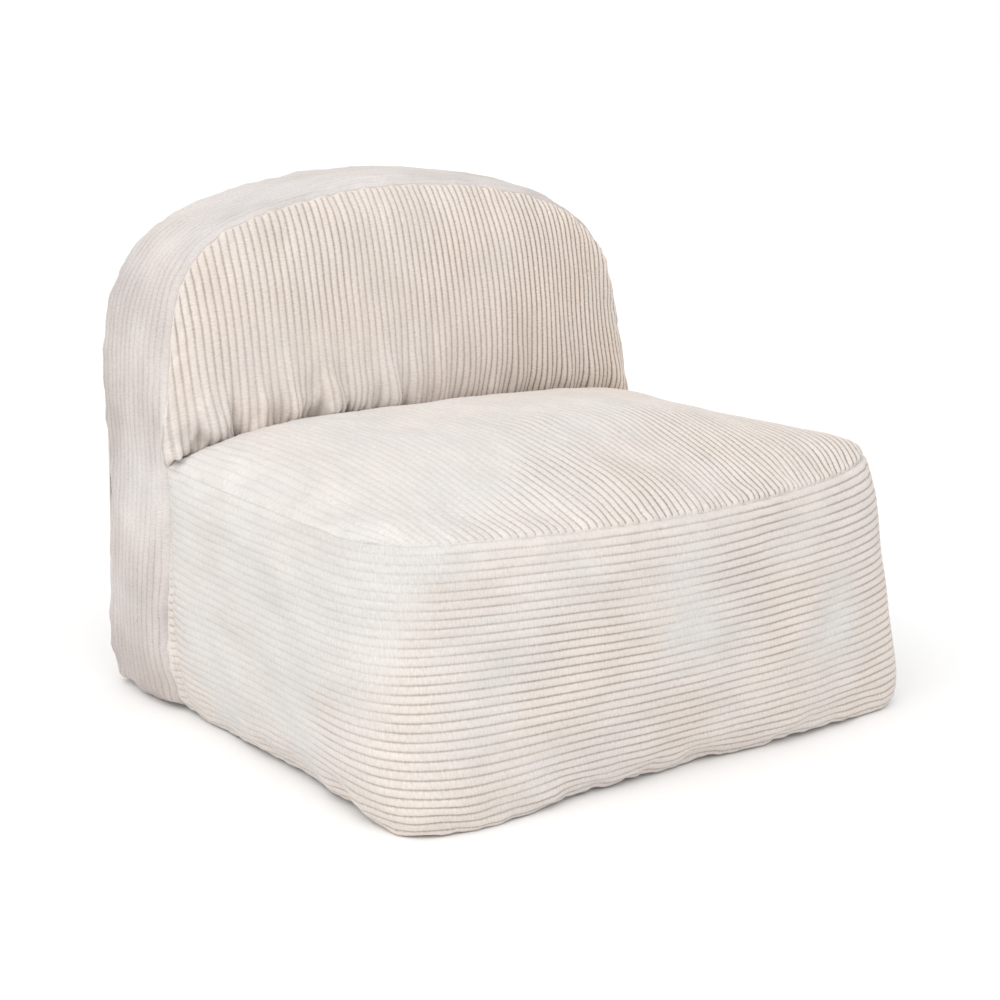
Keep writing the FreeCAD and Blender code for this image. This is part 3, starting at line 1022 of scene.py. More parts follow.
class Finish:
    """What every finish shares: a new material with one shader and a bench to build on."""

    @staticmethod
    def start(name: str, roughness: float, sheen: float = 0.0, metallic: float = 0.0,
              specular: float = 0.5) -> tuple[bpy.types.Material, NodeBench, bpy.types.Node]:
        """Make the material.

        Args:
            name: its name.
            roughness, sheen, metallic, specular: the shader's even values.

        Returns:
            The material, the bench on its tree, and its shader.
        """
        material = bpy.data.materials.new(name)
        material.use_nodes = True
        shader = material.node_tree.nodes["Principled BSDF"]
        bench = NodeBench(material.node_tree)
        bench.fill(shader, {
            "Roughness": roughness, "Metallic": metallic, "Specular IOR Level": specular,
            "Sheen Weight": sheen, "Sheen Roughness": 0.4, "Sheen Tint": (1.0, 0.97, 0.93, 1.0),
        })
        return material, bench, shader

    @staticmethod
    def noise(bench: NodeBench, vector: Socket, scale: Place, detail: float = 3.0) -> Socket:
        """A noise value whose fineness differs by direction."""
        spread = bench.vector("MULTIPLY", vector, scale)
        return bench.put("ShaderNodeTexNoise", spread, None, 1.0, detail).outputs["Fac"]

    @staticmethod
    def mix(bench: NodeBench, share: object, first: object, second: object, blend: str = "MIX"
            ) -> Socket:
        """Mix two colours."""
        node = bench.put("ShaderNodeMix", data_type="RGBA", blend_type=blend)
        bench.feed(node.inputs[0], share)
        bench.feed(node.inputs[6], first)
        bench.feed(node.inputs[7], second)
        return node.outputs[2]

    @staticmethod
    def ramp(bench: NodeBench, value: Socket, low: float, high: float, start: float = 0.0,
             end: float = 1.0) -> Socket:
        """Map a value's range onto another, held at its ends."""
        return bench.put("ShaderNodeMapRange", value, low, high, start, end).outputs[0]

    @classmethod
    def toned(cls, bench: NodeBench, colour: Socket, tone: Socket) -> Socket:
        """A colour made lighter or darker by a value."""
        grey = bench.put("ShaderNodeCombineColor", tone, tone, tone).outputs[0]
        return cls.mix(bench, 1.0, colour, grey, "MULTIPLY")

    @staticmethod
    def bump(bench: NodeBench, shader: bpy.types.Node, strength: float, distance: float,
             height: Socket) -> None:
        """Rough the shader's surface up by a height."""
        node = bench.put("ShaderNodeBump")
        feeds = {"Strength": strength, "Distance": distance, "Height": height}
        bench.feed(shader.inputs["Normal"], bench.fill(node, feeds))


@dataclass(frozen=True)
class CorduroyFinish(Finish):
    """Cotton corduroy: soft pile on the wales, grooves darkened partly by the bare cloth and partly
    by painted shade, paler where brushed flat, partly as painted sheen.
    """

    name: str
    crest: Place
    # groove colour: partly the bare cloth, partly painted shade in the grooves
    groove: Place
    # colour of brushed pile: partly real wear, partly painted sheen
    brushed_and_sheen: Place
    evening: float = 0.78
    pile_scale: Place = (900.0, 800.0, 1.0)
    tuft_scale: Place = (150.0, 430.0, 1.0)
    streak_scale: Place = (95.0, 16.0, 1.0)
    nap_scale: Place = (17.0, 9.0, 1.0)
    warmth_scale: Place = (9.0, 7.0, 1.0)
    speck_scale: Place = (330.0, 420.0, 1.0)
    speck_shade: float = 0.62
    warm: Colour = (1.012, 0.998, 0.978, 1.0)
    cool: Colour = (0.995, 1.0, 1.004, 1.0)

    def material(self) -> bpy.types.Material:
        """Build the material."""
        material, bench, shader = self.start(self.name, roughness=0.92, sheen=0.12, specular=0.10)
        cloth = bench.put("ShaderNodeUVMap", uv_map="cloth").outputs[0]
        rise = bench.put("ShaderNodeAttribute", attribute_name="rise").outputs["Fac"]
        flat = bench.put("ShaderNodeAttribute", attribute_name="brushed_and_sheen").outputs["Fac"]
        pile = self.noise(bench, cloth, self.pile_scale)
        tufts = self.noise(bench, cloth, self.tuft_scale)
        streak = self.noise(bench, cloth, self.streak_scale)
        nap = self.noise(bench, cloth, self.nap_scale, 4.0)
        elsewhere = bench.vector("ADD", cloth, (3.7, 1.9, 0.0))
        warmth = self.noise(bench, elsewhere, self.warmth_scale, 2.0)
        # painted shade mask from the stored rise: low in the grooves between the wales
        height = bench.plus(rise, bench.times(bench.minus(tufts, 0.5), 0.5))
        height = self.ramp(bench, height, 0.22, 0.80)
        # where brushed, the painted groove shade is lifted towards the crest colour
        evened = bench.times(flat, self.evening)
        lift = bench.times(bench.minus(1.0, height), evened)
        height = bench.plus(height, lift)
        # painted sheen: brushed pile takes the paler colour, partly real wear and partly painted
        # sheen
        top = self.mix(bench, flat, (*self.crest, 1.0), (*self.brushed_and_sheen, 1.0))
        # painted shade: the grooves between the wales take the dark groove colour
        colour = self.mix(bench, height, (*self.groove, 1.0), top)
        shade = (*(part * self.speck_shade for part in self.groove), 1.0)
        # painted shade: dark specks in the gaps between tufts
        colour = self.mix(bench, self.gap_shade_specks(bench, cloth, height), colour, shade)
        brush = self.ramp(bench, nap, 0.36, 0.64, 0.955, 1.025)
        fibre = self.ramp(bench, pile, 0.32, 0.68, 0.93, 1.05)
        rung = self.ramp(bench, tufts, 0.34, 0.66, 0.935, 1.045)
        line = self.ramp(bench, streak, 0.3, 0.7, 0.965, 1.02)
        tone = bench.times(bench.times(brush, line), bench.times(fibre, rung))
        colour = self.toned(bench, colour, tone)
        tint = self.mix(bench, self.ramp(bench, warmth, 0.40, 0.60), self.warm, self.cool)
        colour = self.mix(bench, 1.0, colour, tint, "MULTIPLY")
        bench.feed(shader.inputs["Base Color"], colour)
        bench.feed(shader.inputs["Roughness"], self.ramp(bench, pile, 0.2, 0.8, 0.84, 1.0))
        rough = bench.plus(bench.times(pile, 0.6), bench.times(tufts, 1.0))
        self.bump(bench, shader, 0.6, 0.0014, rough)
        return material

    def gap_shade_specks(self, bench: NodeBench, cloth: Socket, height: Socket) -> Socket:
        """Painted shade in small gaps between tufts, most of them low on the wales, 0 to 1."""
        dots = self.noise(bench, cloth, self.speck_scale, 2.0)
        low = self.ramp(bench, height, 0.2, 1.0, 1.0, 0.12)
        return bench.times(self.ramp(bench, dots, 0.60, 0.70, 0.0, 0.6), low)


@dataclass(frozen=True)
class WovenFinish(Finish):
    """Plain woven cloth or webbing: two sets of threads over and under each other."""

    name: str
    light: Place
    dark: Place
    thread: float = 0.0011
    roughness: float = 0.85
    sheen: float = 0.08
    slub_scale: Place = (700.0, 90.0, 700.0)
    cloud_scale: Place = (9.0, 9.0, 9.0)

    def material(self) -> bpy.types.Material:
        """Build the material."""
        material, bench, shader = self.start(self.name, self.roughness, self.sheen, specular=0.25)
        place = bench.put("ShaderNodeTexCoord").outputs["Object"]
        parts = bench.put("ShaderNodeSeparateXYZ", place)
        turn = math.pi / self.thread
        along = bench.maths("SINE", bench.times(parts.outputs["X"], turn))
        depth = bench.plus(parts.outputs["Y"], parts.outputs["Z"])
        across = bench.maths("SINE", bench.times(depth, turn))
        weave = self.ramp(bench, bench.times(along, across), -1.0, 1.0)
        slub = self.noise(bench, place, self.slub_scale)
        cloud = self.noise(bench, place, self.cloud_scale)
        share = bench.plus(bench.times(weave, 0.6), bench.times(slub, 0.5), clamp=True)
        colour = self.mix(bench, share, (*self.dark, 1.0), (*self.light, 1.0))
        tone = self.ramp(bench, cloud, 0.3, 0.7, 0.93, 1.03)
        bench.feed(shader.inputs["Base Color"], self.toned(bench, colour, tone))
        self.bump(bench, shader, 0.5, 0.0003, weave)
        return material


@dataclass(frozen=True)
class BeadFinish(Finish):
    """Foam beads packed together."""

    name: str = "foam_beads"
    bead: float = 0.0042
    shadow: Colour = (0.55, 0.55, 0.54, 1.0)
    foam: Colour = (0.9, 0.9, 0.89, 1.0)
    tinted: Colour = (0.78, 0.80, 0.82, 1.0)

    def material(self) -> bpy.types.Material:
        """Build the material."""
        material, bench, shader = self.start(self.name, 0.6, specular=0.4)
        place = bench.put("ShaderNodeTexCoord").outputs["Object"]
        cells = bench.put("ShaderNodeTexVoronoi", place, None, 1.0 / self.bead)
        gap = self.ramp(bench, cells.outputs["Distance"], 0.1, 0.75, 1.0, 0.0)
        tint = bench.put("ShaderNodeSeparateColor", cells.outputs["Color"]).outputs[0]
        colour = self.mix(bench, gap, self.shadow, self.foam)
        colour = self.mix(bench, bench.times(tint, 0.12), colour, self.tinted)
        bench.feed(shader.inputs["Base Color"], colour)
        self.bump(bench, shader, 0.8, 0.002, gap)
        return material


@dataclass(frozen=True)
class HardFinish(Finish):
    """Moulded nylon or cast metal with fine handling marks."""

    name: str
    light: Place
    dark: Place
    roughness: float = 0.4
    metallic: float = 0.0
    grain_scale: Place = (2600.0, 900.0, 900.0)
    cloud_scale: Place = (160.0, 160.0, 160.0)

    def material(self) -> bpy.types.Material:
        """Build the material."""
        material, bench, shader = self.start(self.name, self.roughness, metallic=self.metallic)
        place = bench.put("ShaderNodeTexCoord").outputs["Object"]
        grain = self.noise(bench, place, self.grain_scale, 4.0)
        cloud = self.noise(bench, place, self.cloud_scale)
        share = self.ramp(bench, cloud, 0.3, 0.7)
        colour = self.mix(bench, share, (*self.dark, 1.0), (*self.light, 1.0))
        bench.feed(shader.inputs["Base Color"], colour)
        low, high = self.roughness * 0.75, min(1.0, self.roughness * 1.35)
        bench.feed(shader.inputs["Roughness"], self.ramp(bench, grain, 0.3, 0.7, low, high))
        self.bump(bench, shader, 0.2, 0.0001, grain)
        return material


@dataclass
class Studio:
    """Plain pale floor, soft lights and the camera."""

    azimuth: float = math.radians(-38.28)
    pitch: float = math.radians(13.83)
    roll: float = math.radians(1.04)
    place: Place = (-1.7874, -2.2602, 0.9784)
    lens: float = 81.65
    sky: float = 0.74
    sky_colour: Colour = (0.98, 0.99, 1.0, 1.0)
    key: float = 1.5
    key_colour: Place = (1.0, 0.985, 0.965)
    key_spread: float = math.radians(70)
    key_from: Place = (-0.62, -0.42, 1.0)
    floor_reach: float = 14.0

    def build(self) -> None:
        """Make the floor, the lights and the camera."""
        bpy.context.scene.view_settings.view_transform = "Standard"
        self.floor()
        self.lights()
        self.camera()

    def floor(self) -> None:
        """A wide pale floor just under the chair."""
        mesh = bpy.data.meshes.new("studio_floor")
        corners = ((-1, -1), (1, -1), (1, 1), (-1, 1))
        mesh.from_pydata([(self.floor_reach * x, self.floor_reach * y, 0) for x, y in corners], [],
                         [(0, 1, 2, 3)])
        floor = bpy.data.objects.new("studio_floor", mesh)
        bpy.context.scene.collection.objects.link(floor)
        material = bpy.data.materials.new("studio_floor")
        material.use_nodes = True
        shader = material.node_tree.nodes["Principled BSDF"]
        shader.inputs["Base Color"].default_value = (0.98, 0.98, 0.98, 1.0)
        shader.inputs["Roughness"].default_value = 0.9
        mesh.materials.append(material)
        floor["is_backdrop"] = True

    def lights(self) -> None:
        """A white sky that lights less than it shows, and a broad light from the upper left."""
        world = bpy.data.worlds.new("studio")
        bpy.context.scene.world = world
        world.use_nodes = True
        bench = NodeBench(world.node_tree)
        seen = world.node_tree.nodes["Background"]
        seen.inputs["Color"].default_value = (1.0, 1.0, 1.0, 1.0)
        seen.inputs["Strength"].default_value = 1.0
        cast = bench.put("ShaderNodeBackground", self.sky_colour, self.sky)
        direct = bench.put("ShaderNodeLightPath").outputs["Is Camera Ray"]
        both = bench.put("ShaderNodeMixShader", direct, cast.outputs[0], seen.outputs[0])
        bench.feed(world.node_tree.nodes["World Output"].inputs["Surface"], both.outputs[0])
        light = bpy.data.lights.new("key_light", "SUN")
        light.energy = self.key
        light.angle = self.key_spread
        light.color = self.key_colour
        lamp = bpy.data.objects.new("key_light", light)
        lamp.rotation_euler = Vector(self.key_from).to_track_quat("Z", "Y").to_euler()
        bpy.context.scene.collection.objects.link(lamp)

    def camera(self) -> None:
        """The camera at the chair's left front, a little above it."""
        lens = bpy.data.cameras.new("camera")
        lens.lens = self.lens
        lens.sensor_width = 36.0
        camera = bpy.data.objects.new("camera", lens)
        camera.location = self.place
        turn = Matrix.Rotation
        tilt = turn(self.azimuth, 4, "Z") @ turn(math.pi / 2 - self.pitch, 4, "X")
        camera.rotation_euler = (tilt @ turn(self.roll, 4, "Z")).to_euler()
        bpy.context.scene.collection.objects.link(camera)
        bpy.context.scene.camera = camera


# ---------------------------------------------------------------- corduroy panels

@dataclass(frozen=True)
class Wales:
    """Sizes of the cloth's wales and of the seams that end them."""

    depth: float = 0.0019
    roundness: float = 0.45
    unevenness: float = 0.12
    brushed_loss: float = 0.5
    columns: int = 8
    row: float = 0.009
    cloth: float = 0.0024
    sink: float = 0.0009
    dive: float = 0.0020
    dive_reach: float = 0.0024
    tuck: float = 0.0006
    lip: float = 0.0006
    lip_reach: float = 0.014
    wander: float = 0.0005
    cloud_scale: float = 38.0
    seam_colour: float = 0.85
    seed: int = 3

    def recipe(self, pitch: float, material: bpy.types.Material) -> GeometryRecipe:
        """Tree that raises the wales on a panel.

        Args:
            pitch: from one groove to the next.
            material: the panel's finish.

        Returns:
            The tree, ready to run.
        """
        recipe = GeometryRecipe("raise_wales", {
            "Pitch": ("NodeSocketFloat", pitch),
            "Depth": ("NodeSocketFloat", self.depth),
            "Roundness": ("NodeSocketFloat", self.roundness),
            "Unevenness": ("NodeSocketFloat", self.unevenness),
            "Brushed Loss": ("NodeSocketFloat", self.brushed_loss),
            "Seed": ("NodeSocketFloat", float(self.seed)),
            "Material": ("NodeSocketMaterial", material),
        })
        bench = recipe.bench
        across = bench.maths("DIVIDE", bench.attribute("across"), recipe.socket("Pitch"))
        wave = bench.maths("ABSOLUTE", bench.maths("SINE", bench.times(across, math.pi)))
        rise = bench.maths("POWER", wave, recipe.socket("Roundness"))
        edge = bench.attribute("edge")
        place = bench.put("GeometryNodeInputPosition").outputs[0]
        cloud = bench.put("ShaderNodeTexNoise", noise_dimensions="4D")
        noise = bench.fill(cloud, {"Vector": place, "W": recipe.socket("Seed"),
                                   "Scale": self.cloud_scale, "Detail": 2.0})
        swing = bench.times(bench.minus(noise, 0.5), 4.0)
        swing = bench.plus(1.0, bench.times(swing, recipe.socket("Unevenness")))
        height = bench.times(bench.times(rise, edge), recipe.socket("Depth"))
        height = bench.times(height, swing)
        flattened = bench.times(bench.attribute("brushed_and_sheen"), recipe.socket("Brushed Loss"))
        height = bench.times(height, bench.minus(1.0, flattened))
        out = bench.attribute("out", "FLOAT_VECTOR")
        offset = bench.put("ShaderNodeVectorMath", out, operation="SCALE")
        moved = bench.fill(offset, {"Scale": height})
        geometry = recipe.entry.outputs["Geometry"]
        raised = bench.put("GeometryNodeSetPosition", geometry, None, None, moved)
        stored = bench.put("GeometryNodeStoreNamedAttribute", data_type="FLOAT", domain="POINT")
        # stored as rise for the finish, where it drives the painted shade in the grooves
        shown = bench.plus(bench.times(rise, edge),
                           bench.times(bench.minus(1.0, edge), self.seam_colour))
        feeds = {"Geometry": raised.outputs[0], "Name": "rise", "Value": shown}
        recipe.end(bench.fill(stored, feeds))
        return recipe


@dataclass(frozen=True)
class BrushAndSheenMark:
    """A patch where hands and sitting have smoothed the pile; its paler colour is partly painted
    sheen.
    """

    place: Place
    reach: float
    amount: float


# brushed patches: flatter wales, and a paler colour that is partly painted sheen
BRUSH_AND_SHEEN_MARKS = (
    BrushAndSheenMark((-0.08, 0.03, 0.37), 0.24, 1.0),
    BrushAndSheenMark((-0.33, -0.08, 0.34), 0.20, 1.0),
    BrushAndSheenMark((-0.40, -0.02, 0.325), 0.20, 1.0),
    BrushAndSheenMark((-0.40, -0.20, 0.315), 0.14, 0.8),
    BrushAndSheenMark((-0.41, 0.02, 0.18), 0.17, 0.9),
    BrushAndSheenMark((-0.37, -0.22, 0.22), 0.10, 0.5),
    BrushAndSheenMark((-0.42, 0.28, 0.30), 0.22, 0.15),
    BrushAndSheenMark((-0.26, 0.30, 0.66), 0.16, 0.9),
    BrushAndSheenMark((0.02, 0.30, 0.70), 0.16, 0.9),
    BrushAndSheenMark((0.02, -0.37, 0.17), 0.10, 0.5),
    BrushAndSheenMark((0.26, -0.36, 0.12), 0.07, 0.4),
    BrushAndSheenMark((0.20, -0.22, 0.38), 0.07, 0.3),
)


@dataclass
class CutPanel:
    """One corduroy panel in full: wales outside, plain back inside, edges turned into the seams."""

    name: str
    grid: Panel
    finish: CorduroyFinish
    wales: int
    loop: Array
    across_tall: bool = False
    worn: float = 1.0
    sizes: Wales = field(default_factory=Wales)
    ends: tuple[float, ...] = (0.0, 0.0013, 0.0027, 0.0044, 0.0068, 0.0105, 0.016)
    short: float = 0.1
    brushed_dive: float = 0.92
    edge_pucker: Ripple = Ripple(11, 0.018, 0.05, 0.0010)
    edge_pucker_reach: float = 0.022
    foot_pucker: Ripple = Ripple(12, 0.018, 0.034, 0.0026)
    # gathering at the backrest's foot: deeper wales, and wider painted shade in the grooves
    foot_gather_and_shade: float = 1.5
    foot_reach: float = 0.060
    cloth_floor: float = 0.0006
    floor: float = 0.0003
    # brushing everywhere: flattens the wales, and the finish paints it paler, partly as sheen
    wear_and_sheen: float = 0.16
    wear_and_sheen_clouds: tuple[Ripple, Ripple] = (
        Ripple(31, 0.10, 0.32, 0.20), Ripple(32, 0.03, 0.08, 0.07))

    def foot(self, points: Array) -> Array:
        """How tightly the cloth is gathered at the backrest's foot, 0 to 1, most at the left."""
        if self.name != "backrest_front_panel":
            return np.zeros(points.shape[:-1])
        x, z = points[..., 0], points[..., 2]
        crease = self.grid.shape[0]
        rise = z - np.interp(x, crease[:, 0], crease[:, 2])
        return bell(np.maximum(rise, 0.0), self.foot_reach) * smooth_step((0.02 - x) / 0.20)

    def build(self) -> bpy.types.Object:
        wanted, across, edge_distance = self.lay_out()
        row, column = self.locate(wanted)
        shape, lift = self.grid.shape, self.grid.lift
        if self.across_tall:
            shape, lift = shape.transpose(1, 0, 2), lift.transpose(1, 0, 2)
        base = sample_grid(shape, row, column)
        out = unit(sample_grid(lift, row, column))
        sizes = self.sizes
        # brushing mask: flattens the wales; the finish paints it paler, partly as painted sheen
        brushed_and_sheen = self.brushing_and_sheen(base)
        foot = self.foot(base)
        dive = sizes.dive * (1 - self.brushed_dive * brushed_and_sheen)
        fall = -sizes.sink - dive * np.exp(-(edge_distance / sizes.dive_reach) ** 1.4)
        swell = sizes.lip * bell(edge_distance - sizes.lip_reach * 0.55, sizes.lip_reach * 0.5)
        pucker = self.edge_pucker.at(base) * np.exp(-edge_distance / self.edge_pucker_reach)
        pucker = pucker + self.foot_pucker.at(base * [1.0, 1.0, 0.6]) * foot
        rest = self.tucked(base + out * (fall + swell + pucker)[..., None])
        rest[..., 2] = np.maximum(rest[..., 2], self.cloth_floor)
        back = rest - out * sizes.cloth
        # above 1 at the backrest's foot: deeper wales, and wider painted groove shade in the finish
        edge = smooth_step((edge_distance - 0.0006) / 0.0034) * (1 + self.foot_gather_and_shade * foot)
        piece = self.closed(rest, back, out, across, edge, wanted, brushed_and_sheen)
        sizes.recipe(self.pitch, self.finish.material()).bake(piece)
        points = points_of(piece.data)
        points[:, 2] = np.maximum(points[:, 2], self.floor)
        piece.data.vertices.foreach_set("co", points.reshape(-1))
        return self.declare(piece)

    def tucked(self, points: Array) -> Array:
        """Carry the four edges a little past the seam, so that sewn panels close on each other."""
        points = points.copy()
        for edge, inner in ((0, 1), (-1, -2)):
            points[edge] += unit(points[edge] - points[inner]) * self.sizes.tuck
            points[:, edge] += unit(points[:, edge] - points[:, inner]) * self.sizes.tuck
        return points

    def brushing_and_sheen(self, points: Array) -> Array:
        """How far the pile is brushed flat at each point, 0 to 1; the finish also paints it paler as
        sheen.
        """
        amount = (self.wear_and_sheen + sum(cloud.at(points) for cloud in self.wear_and_sheen_clouds)) * self.worn
        for mark in BRUSH_AND_SHEEN_MARKS:
            away = np.linalg.norm(points - np.array(mark.place), axis=-1)
            amount = amount + mark.amount * bell(away, mark.reach)
        return np.clip(amount, 0.0, 1.0)

    @property
    def pitch(self) -> float:
        """From one groove to the next on the cut cloth."""
        return float(np.ptp(self.loop[:, 0])) / self.wales

    def lay_out(self) -> tuple[Array, Array, Array]:
        """Places of the fine points on the cut cloth.

        Returns:
            Each point's flat place, its distance across the wales, and that from the nearest seam.
        """
        low, high = float(self.loop[:, 0].min()), float(self.loop[:, 0].max())
        across = np.linspace(0.0, high - low, self.wales * self.sizes.columns + 1)
        x = np.clip(low + across, low + 3e-4, high - 3e-4)
        bottom, top = self.span(x)
        length = float(np.max(top - bottom))
        ends = np.array(self.ends if length >= self.short else self.ends[:-1])
        middle = max(2, round((length - 2 * ends[-1]) / self.sizes.row))
        between = np.linspace(ends[-1], length - ends[-1], middle + 1)[1:-1]
        steps = np.concatenate([ends, between, (length - ends)[::-1]]) / length
        y = bottom[None] + (top - bottom)[None] * steps[:, None]
        wanted = np.stack([np.broadcast_to(x[None], y.shape), y], axis=-1)
        distance = loop_distances(wanted.reshape(-1, 2), self.loop).reshape(y.shape)
        level = np.concatenate([wanted, wanted[..., :1] * 0], axis=-1)
        shift = Ripple(self.sizes.seed + 4, 0.16, 0.5).at(level)
        wanted[..., 0] += self.sizes.wander * shift * smooth_step(distance / 0.05)
        return wanted, np.broadcast_to(across[None], y.shape), distance

    def span(self, x: Array) -> tuple[Array, Array]:
        """Lowest and highest place of the cut outline at each x."""
        a, b = self.loop, np.roll(self.loop, -1, axis=0)
        bottom, top = np.full(len(x), np.inf), np.full(len(x), -np.inf)
        for (ax, ay), (bx, by) in zip(a, b):
            if ax == bx:
                continue
            share = (x - ax) / (bx - ax)
            hit = (share >= 0) & (share <= 1)
            y = ay + (by - ay) * share
            bottom = np.where(hit, np.minimum(bottom, y), bottom)
            top = np.where(hit, np.maximum(top, y), top)
        return bottom, top

    def locate(self, wanted: Array) -> tuple[Array, Array]:
        """Rows and columns of the panel's grid that lie at the wanted flat places."""
        flat = self.grid.flat
        if self.across_tall:
            flat = flat.transpose(1, 0, 2)[..., ::-1]
        rows, columns = flat.shape[0] - 1, flat.shape[1] - 1
        u, v = shares(wanted)
        row, column = np.broadcast_arrays(rows * v, columns * u)
        reach = 0.05
        for _ in range(14):
            miss = wanted - sample_grid(flat, row, column)
            r0, r1 = np.clip(row - reach, 0, rows), np.clip(row + reach, 0, rows)
            c0, c1 = np.clip(column - reach, 0, columns), np.clip(column + reach, 0, columns)
            dr = sample_grid(flat, r1, column) - sample_grid(flat, r0, column)
            dc = sample_grid(flat, row, c1) - sample_grid(flat, row, c0)
            dr, dc = dr / (r1 - r0)[..., None], dc / (c1 - c0)[..., None]
            a, b, d = (dr * dr).sum(-1), (dr * dc).sum(-1), (dc * dc).sum(-1)
            ease = 1e-3 * (a + d) + 1e-12
            a, d = a + ease, d + ease
            u, v = (dr * miss).sum(-1), (dc * miss).sum(-1)
            span = a * d - b * b
            row = np.clip(row + np.clip((d * u - b * v) / span, -4, 4), 0, rows)
            column = np.clip(column + np.clip((a * v - b * u) / span, -4, 4), 0, columns)
        worst = np.abs(wanted - sample_grid(flat, row, column)).max(-1)
        LOG.info("%s: placed to %.2f mm", self.name, worst.max() * 1000)
        return row, column

    def closed(self, rest: Array, back: Array, out: Array, across: Array, edge: Array, flat: Array,
               brushed_and_sheen: Array) -> bpy.types.Object:
        """Join the outer face, the plain back and the rims into one closed mesh.

        Args:
            rest, back: points of the outer face before its wales rise, and of the back.
            out: directions in which the wales rise.
            across, edge, flat and the brushing mask: what the wales and the finish read at each
                point; the finish paints the brushing mask paler, partly as sheen.

        Returns:
            The closed panel.
        """
        rows, columns = rest.shape[:2]
        step = self.sizes.columns
        thin = back[:, ::step]
        narrow = thin.shape[1]
        begin = rows * columns
        outer = grid_quads(rows, columns)
        inner = grid_quads(rows, narrow, begin)[:, ::-1]
        o = np.arange(begin).reshape(rows, columns)
        i = begin + np.arange(rows * narrow).reshape(rows, narrow)
        left = np.stack([o[:-1, 0], o[1:, 0], i[1:, 0], i[:-1, 0]], axis=-1)
        right = np.stack([o[1:, -1], o[:-1, -1], i[:-1, -1], i[1:, -1]], axis=-1)
        foot, head = self.fan(o[0], i[0], step), self.fan(o[-1], i[-1], step)[:, ::-1]
        quads = np.concatenate([outer, inner, left, right])
        tris = np.concatenate([foot, head])
        r, c = rows // 2, columns // 2
        facing = np.cross(rest[r, c + step] - rest[r, c], rest[r + 1, c] - rest[r, c])
        if float(facing @ out[r, c]) < 0:
            quads, tris = quads[:, ::-1], tris[:, ::-1]
        size = rows * narrow
        join = lambda full, part: np.concatenate([full.reshape(begin, -1), part.reshape(size, -1)])
        zero = np.zeros((rows, narrow))
        values = {
            "across": join(across, zero)[:, 0],
            "edge": join(edge, zero)[:, 0],
            "brushed_and_sheen": join(brushed_and_sheen, brushed_and_sheen[:, ::step])[:, 0],
            "out": join(out, out[:, ::step]),
        }
        piece = plain_mesh(self.name + "_cloth", join(rest, thin), [quads, tris],
                           join(flat, flat[:, ::step]), values)
        rims = np.arange(len(quads) + len(tris)) >= len(outer) + len(inner)
        piece.data.polygons.foreach_set("use_smooth", ~rims)
        return piece

    @staticmethod
    def fan(many: Array, few: Array, step: int) -> Array:
        """Triangles between an edge of many points and one of few, so that both close."""
        count = len(few) - 1
        n = np.arange(count)
        half = step // 2
        made = []
        for k in range(step):
            near = few[n] if k < half else few[n + 1]
            made.append(np.stack([many[n * step + k + 1], many[n * step + k], near], axis=-1))
        made.append(np.stack([many[n * step + half], few[n], few[n + 1]], axis=-1))
        return np.concatenate(made)

    def declare(self, piece: bpy.types.Object) -> bpy.types.Object:
        enrol(piece, Slot.CORDUROY, self.name)
        size = (float(np.ptp(self.loop[:, 0])), float(np.ptp(self.loop[:, 1])))
        area = min(loop_area(self.loop), size[0] * size[1])
        LOG.info("%s: %d wales, %.1f mm apart, cut %.0f x %.0f mm", self.name, self.wales,
                 self.pitch * 1000, size[0] * 1000, size[1] * 1000)
        return piece


@dataclass
class ZipOpening:
    """The slit between the two rear panels where the cover's zip shows."""

    height: float
    half_length: float
    half_gap: float = 0.0055
    turn: float = 0.005

    @classmethod
    def from_frame(cls) -> "ZipOpening":
        """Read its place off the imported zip."""
        low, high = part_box("cover_zip_end_stops")
        return cls(height=(low.z + high.z) / 2, half_length=(high.x - low.x) / 2 + 0.003)

    def edge(self, side: int, reach: float) -> Array:
        """One panel's edge along the slit, from left to right, out to a reach on both sides."""
        near = self.half_length - np.linspace(0.0, self.turn, 7)
        beyond = self.half_length + 0.02
        between = np.linspace(-near[-1], near[-1], 40)[1:-1]
        x = np.concatenate([[-reach, -beyond], -near, between, near[::-1], [beyond, reach]])
        gap = self.half_gap * smooth_step((self.half_length - np.abs(x)) / self.turn) ** 0.5
        return np.column_stack([x, self.height + side * np.maximum(gap, 0.0002)])


def zip_lane(points: Array) -> Array:
    """How near each point is to the path of a liner zip's slider under the chair, 0 to 1."""
    share = np.zeros(points.shape[:-1])
    for bag in ("seat", "back"):
        front, rear = (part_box(f"{bag}_liner_zip_{side}_tape") for side in ("front", "rear"))
        aside = np.abs(points[..., 1] - (front[0].y + rear[1].y) / 2)
        along = np.abs(points[..., 0]) - front[1].x
        near = smooth_step((0.036 - aside) / 0.014) * smooth_step((0.034 - along) / 0.014)
        share = np.maximum(share, near)
    return share


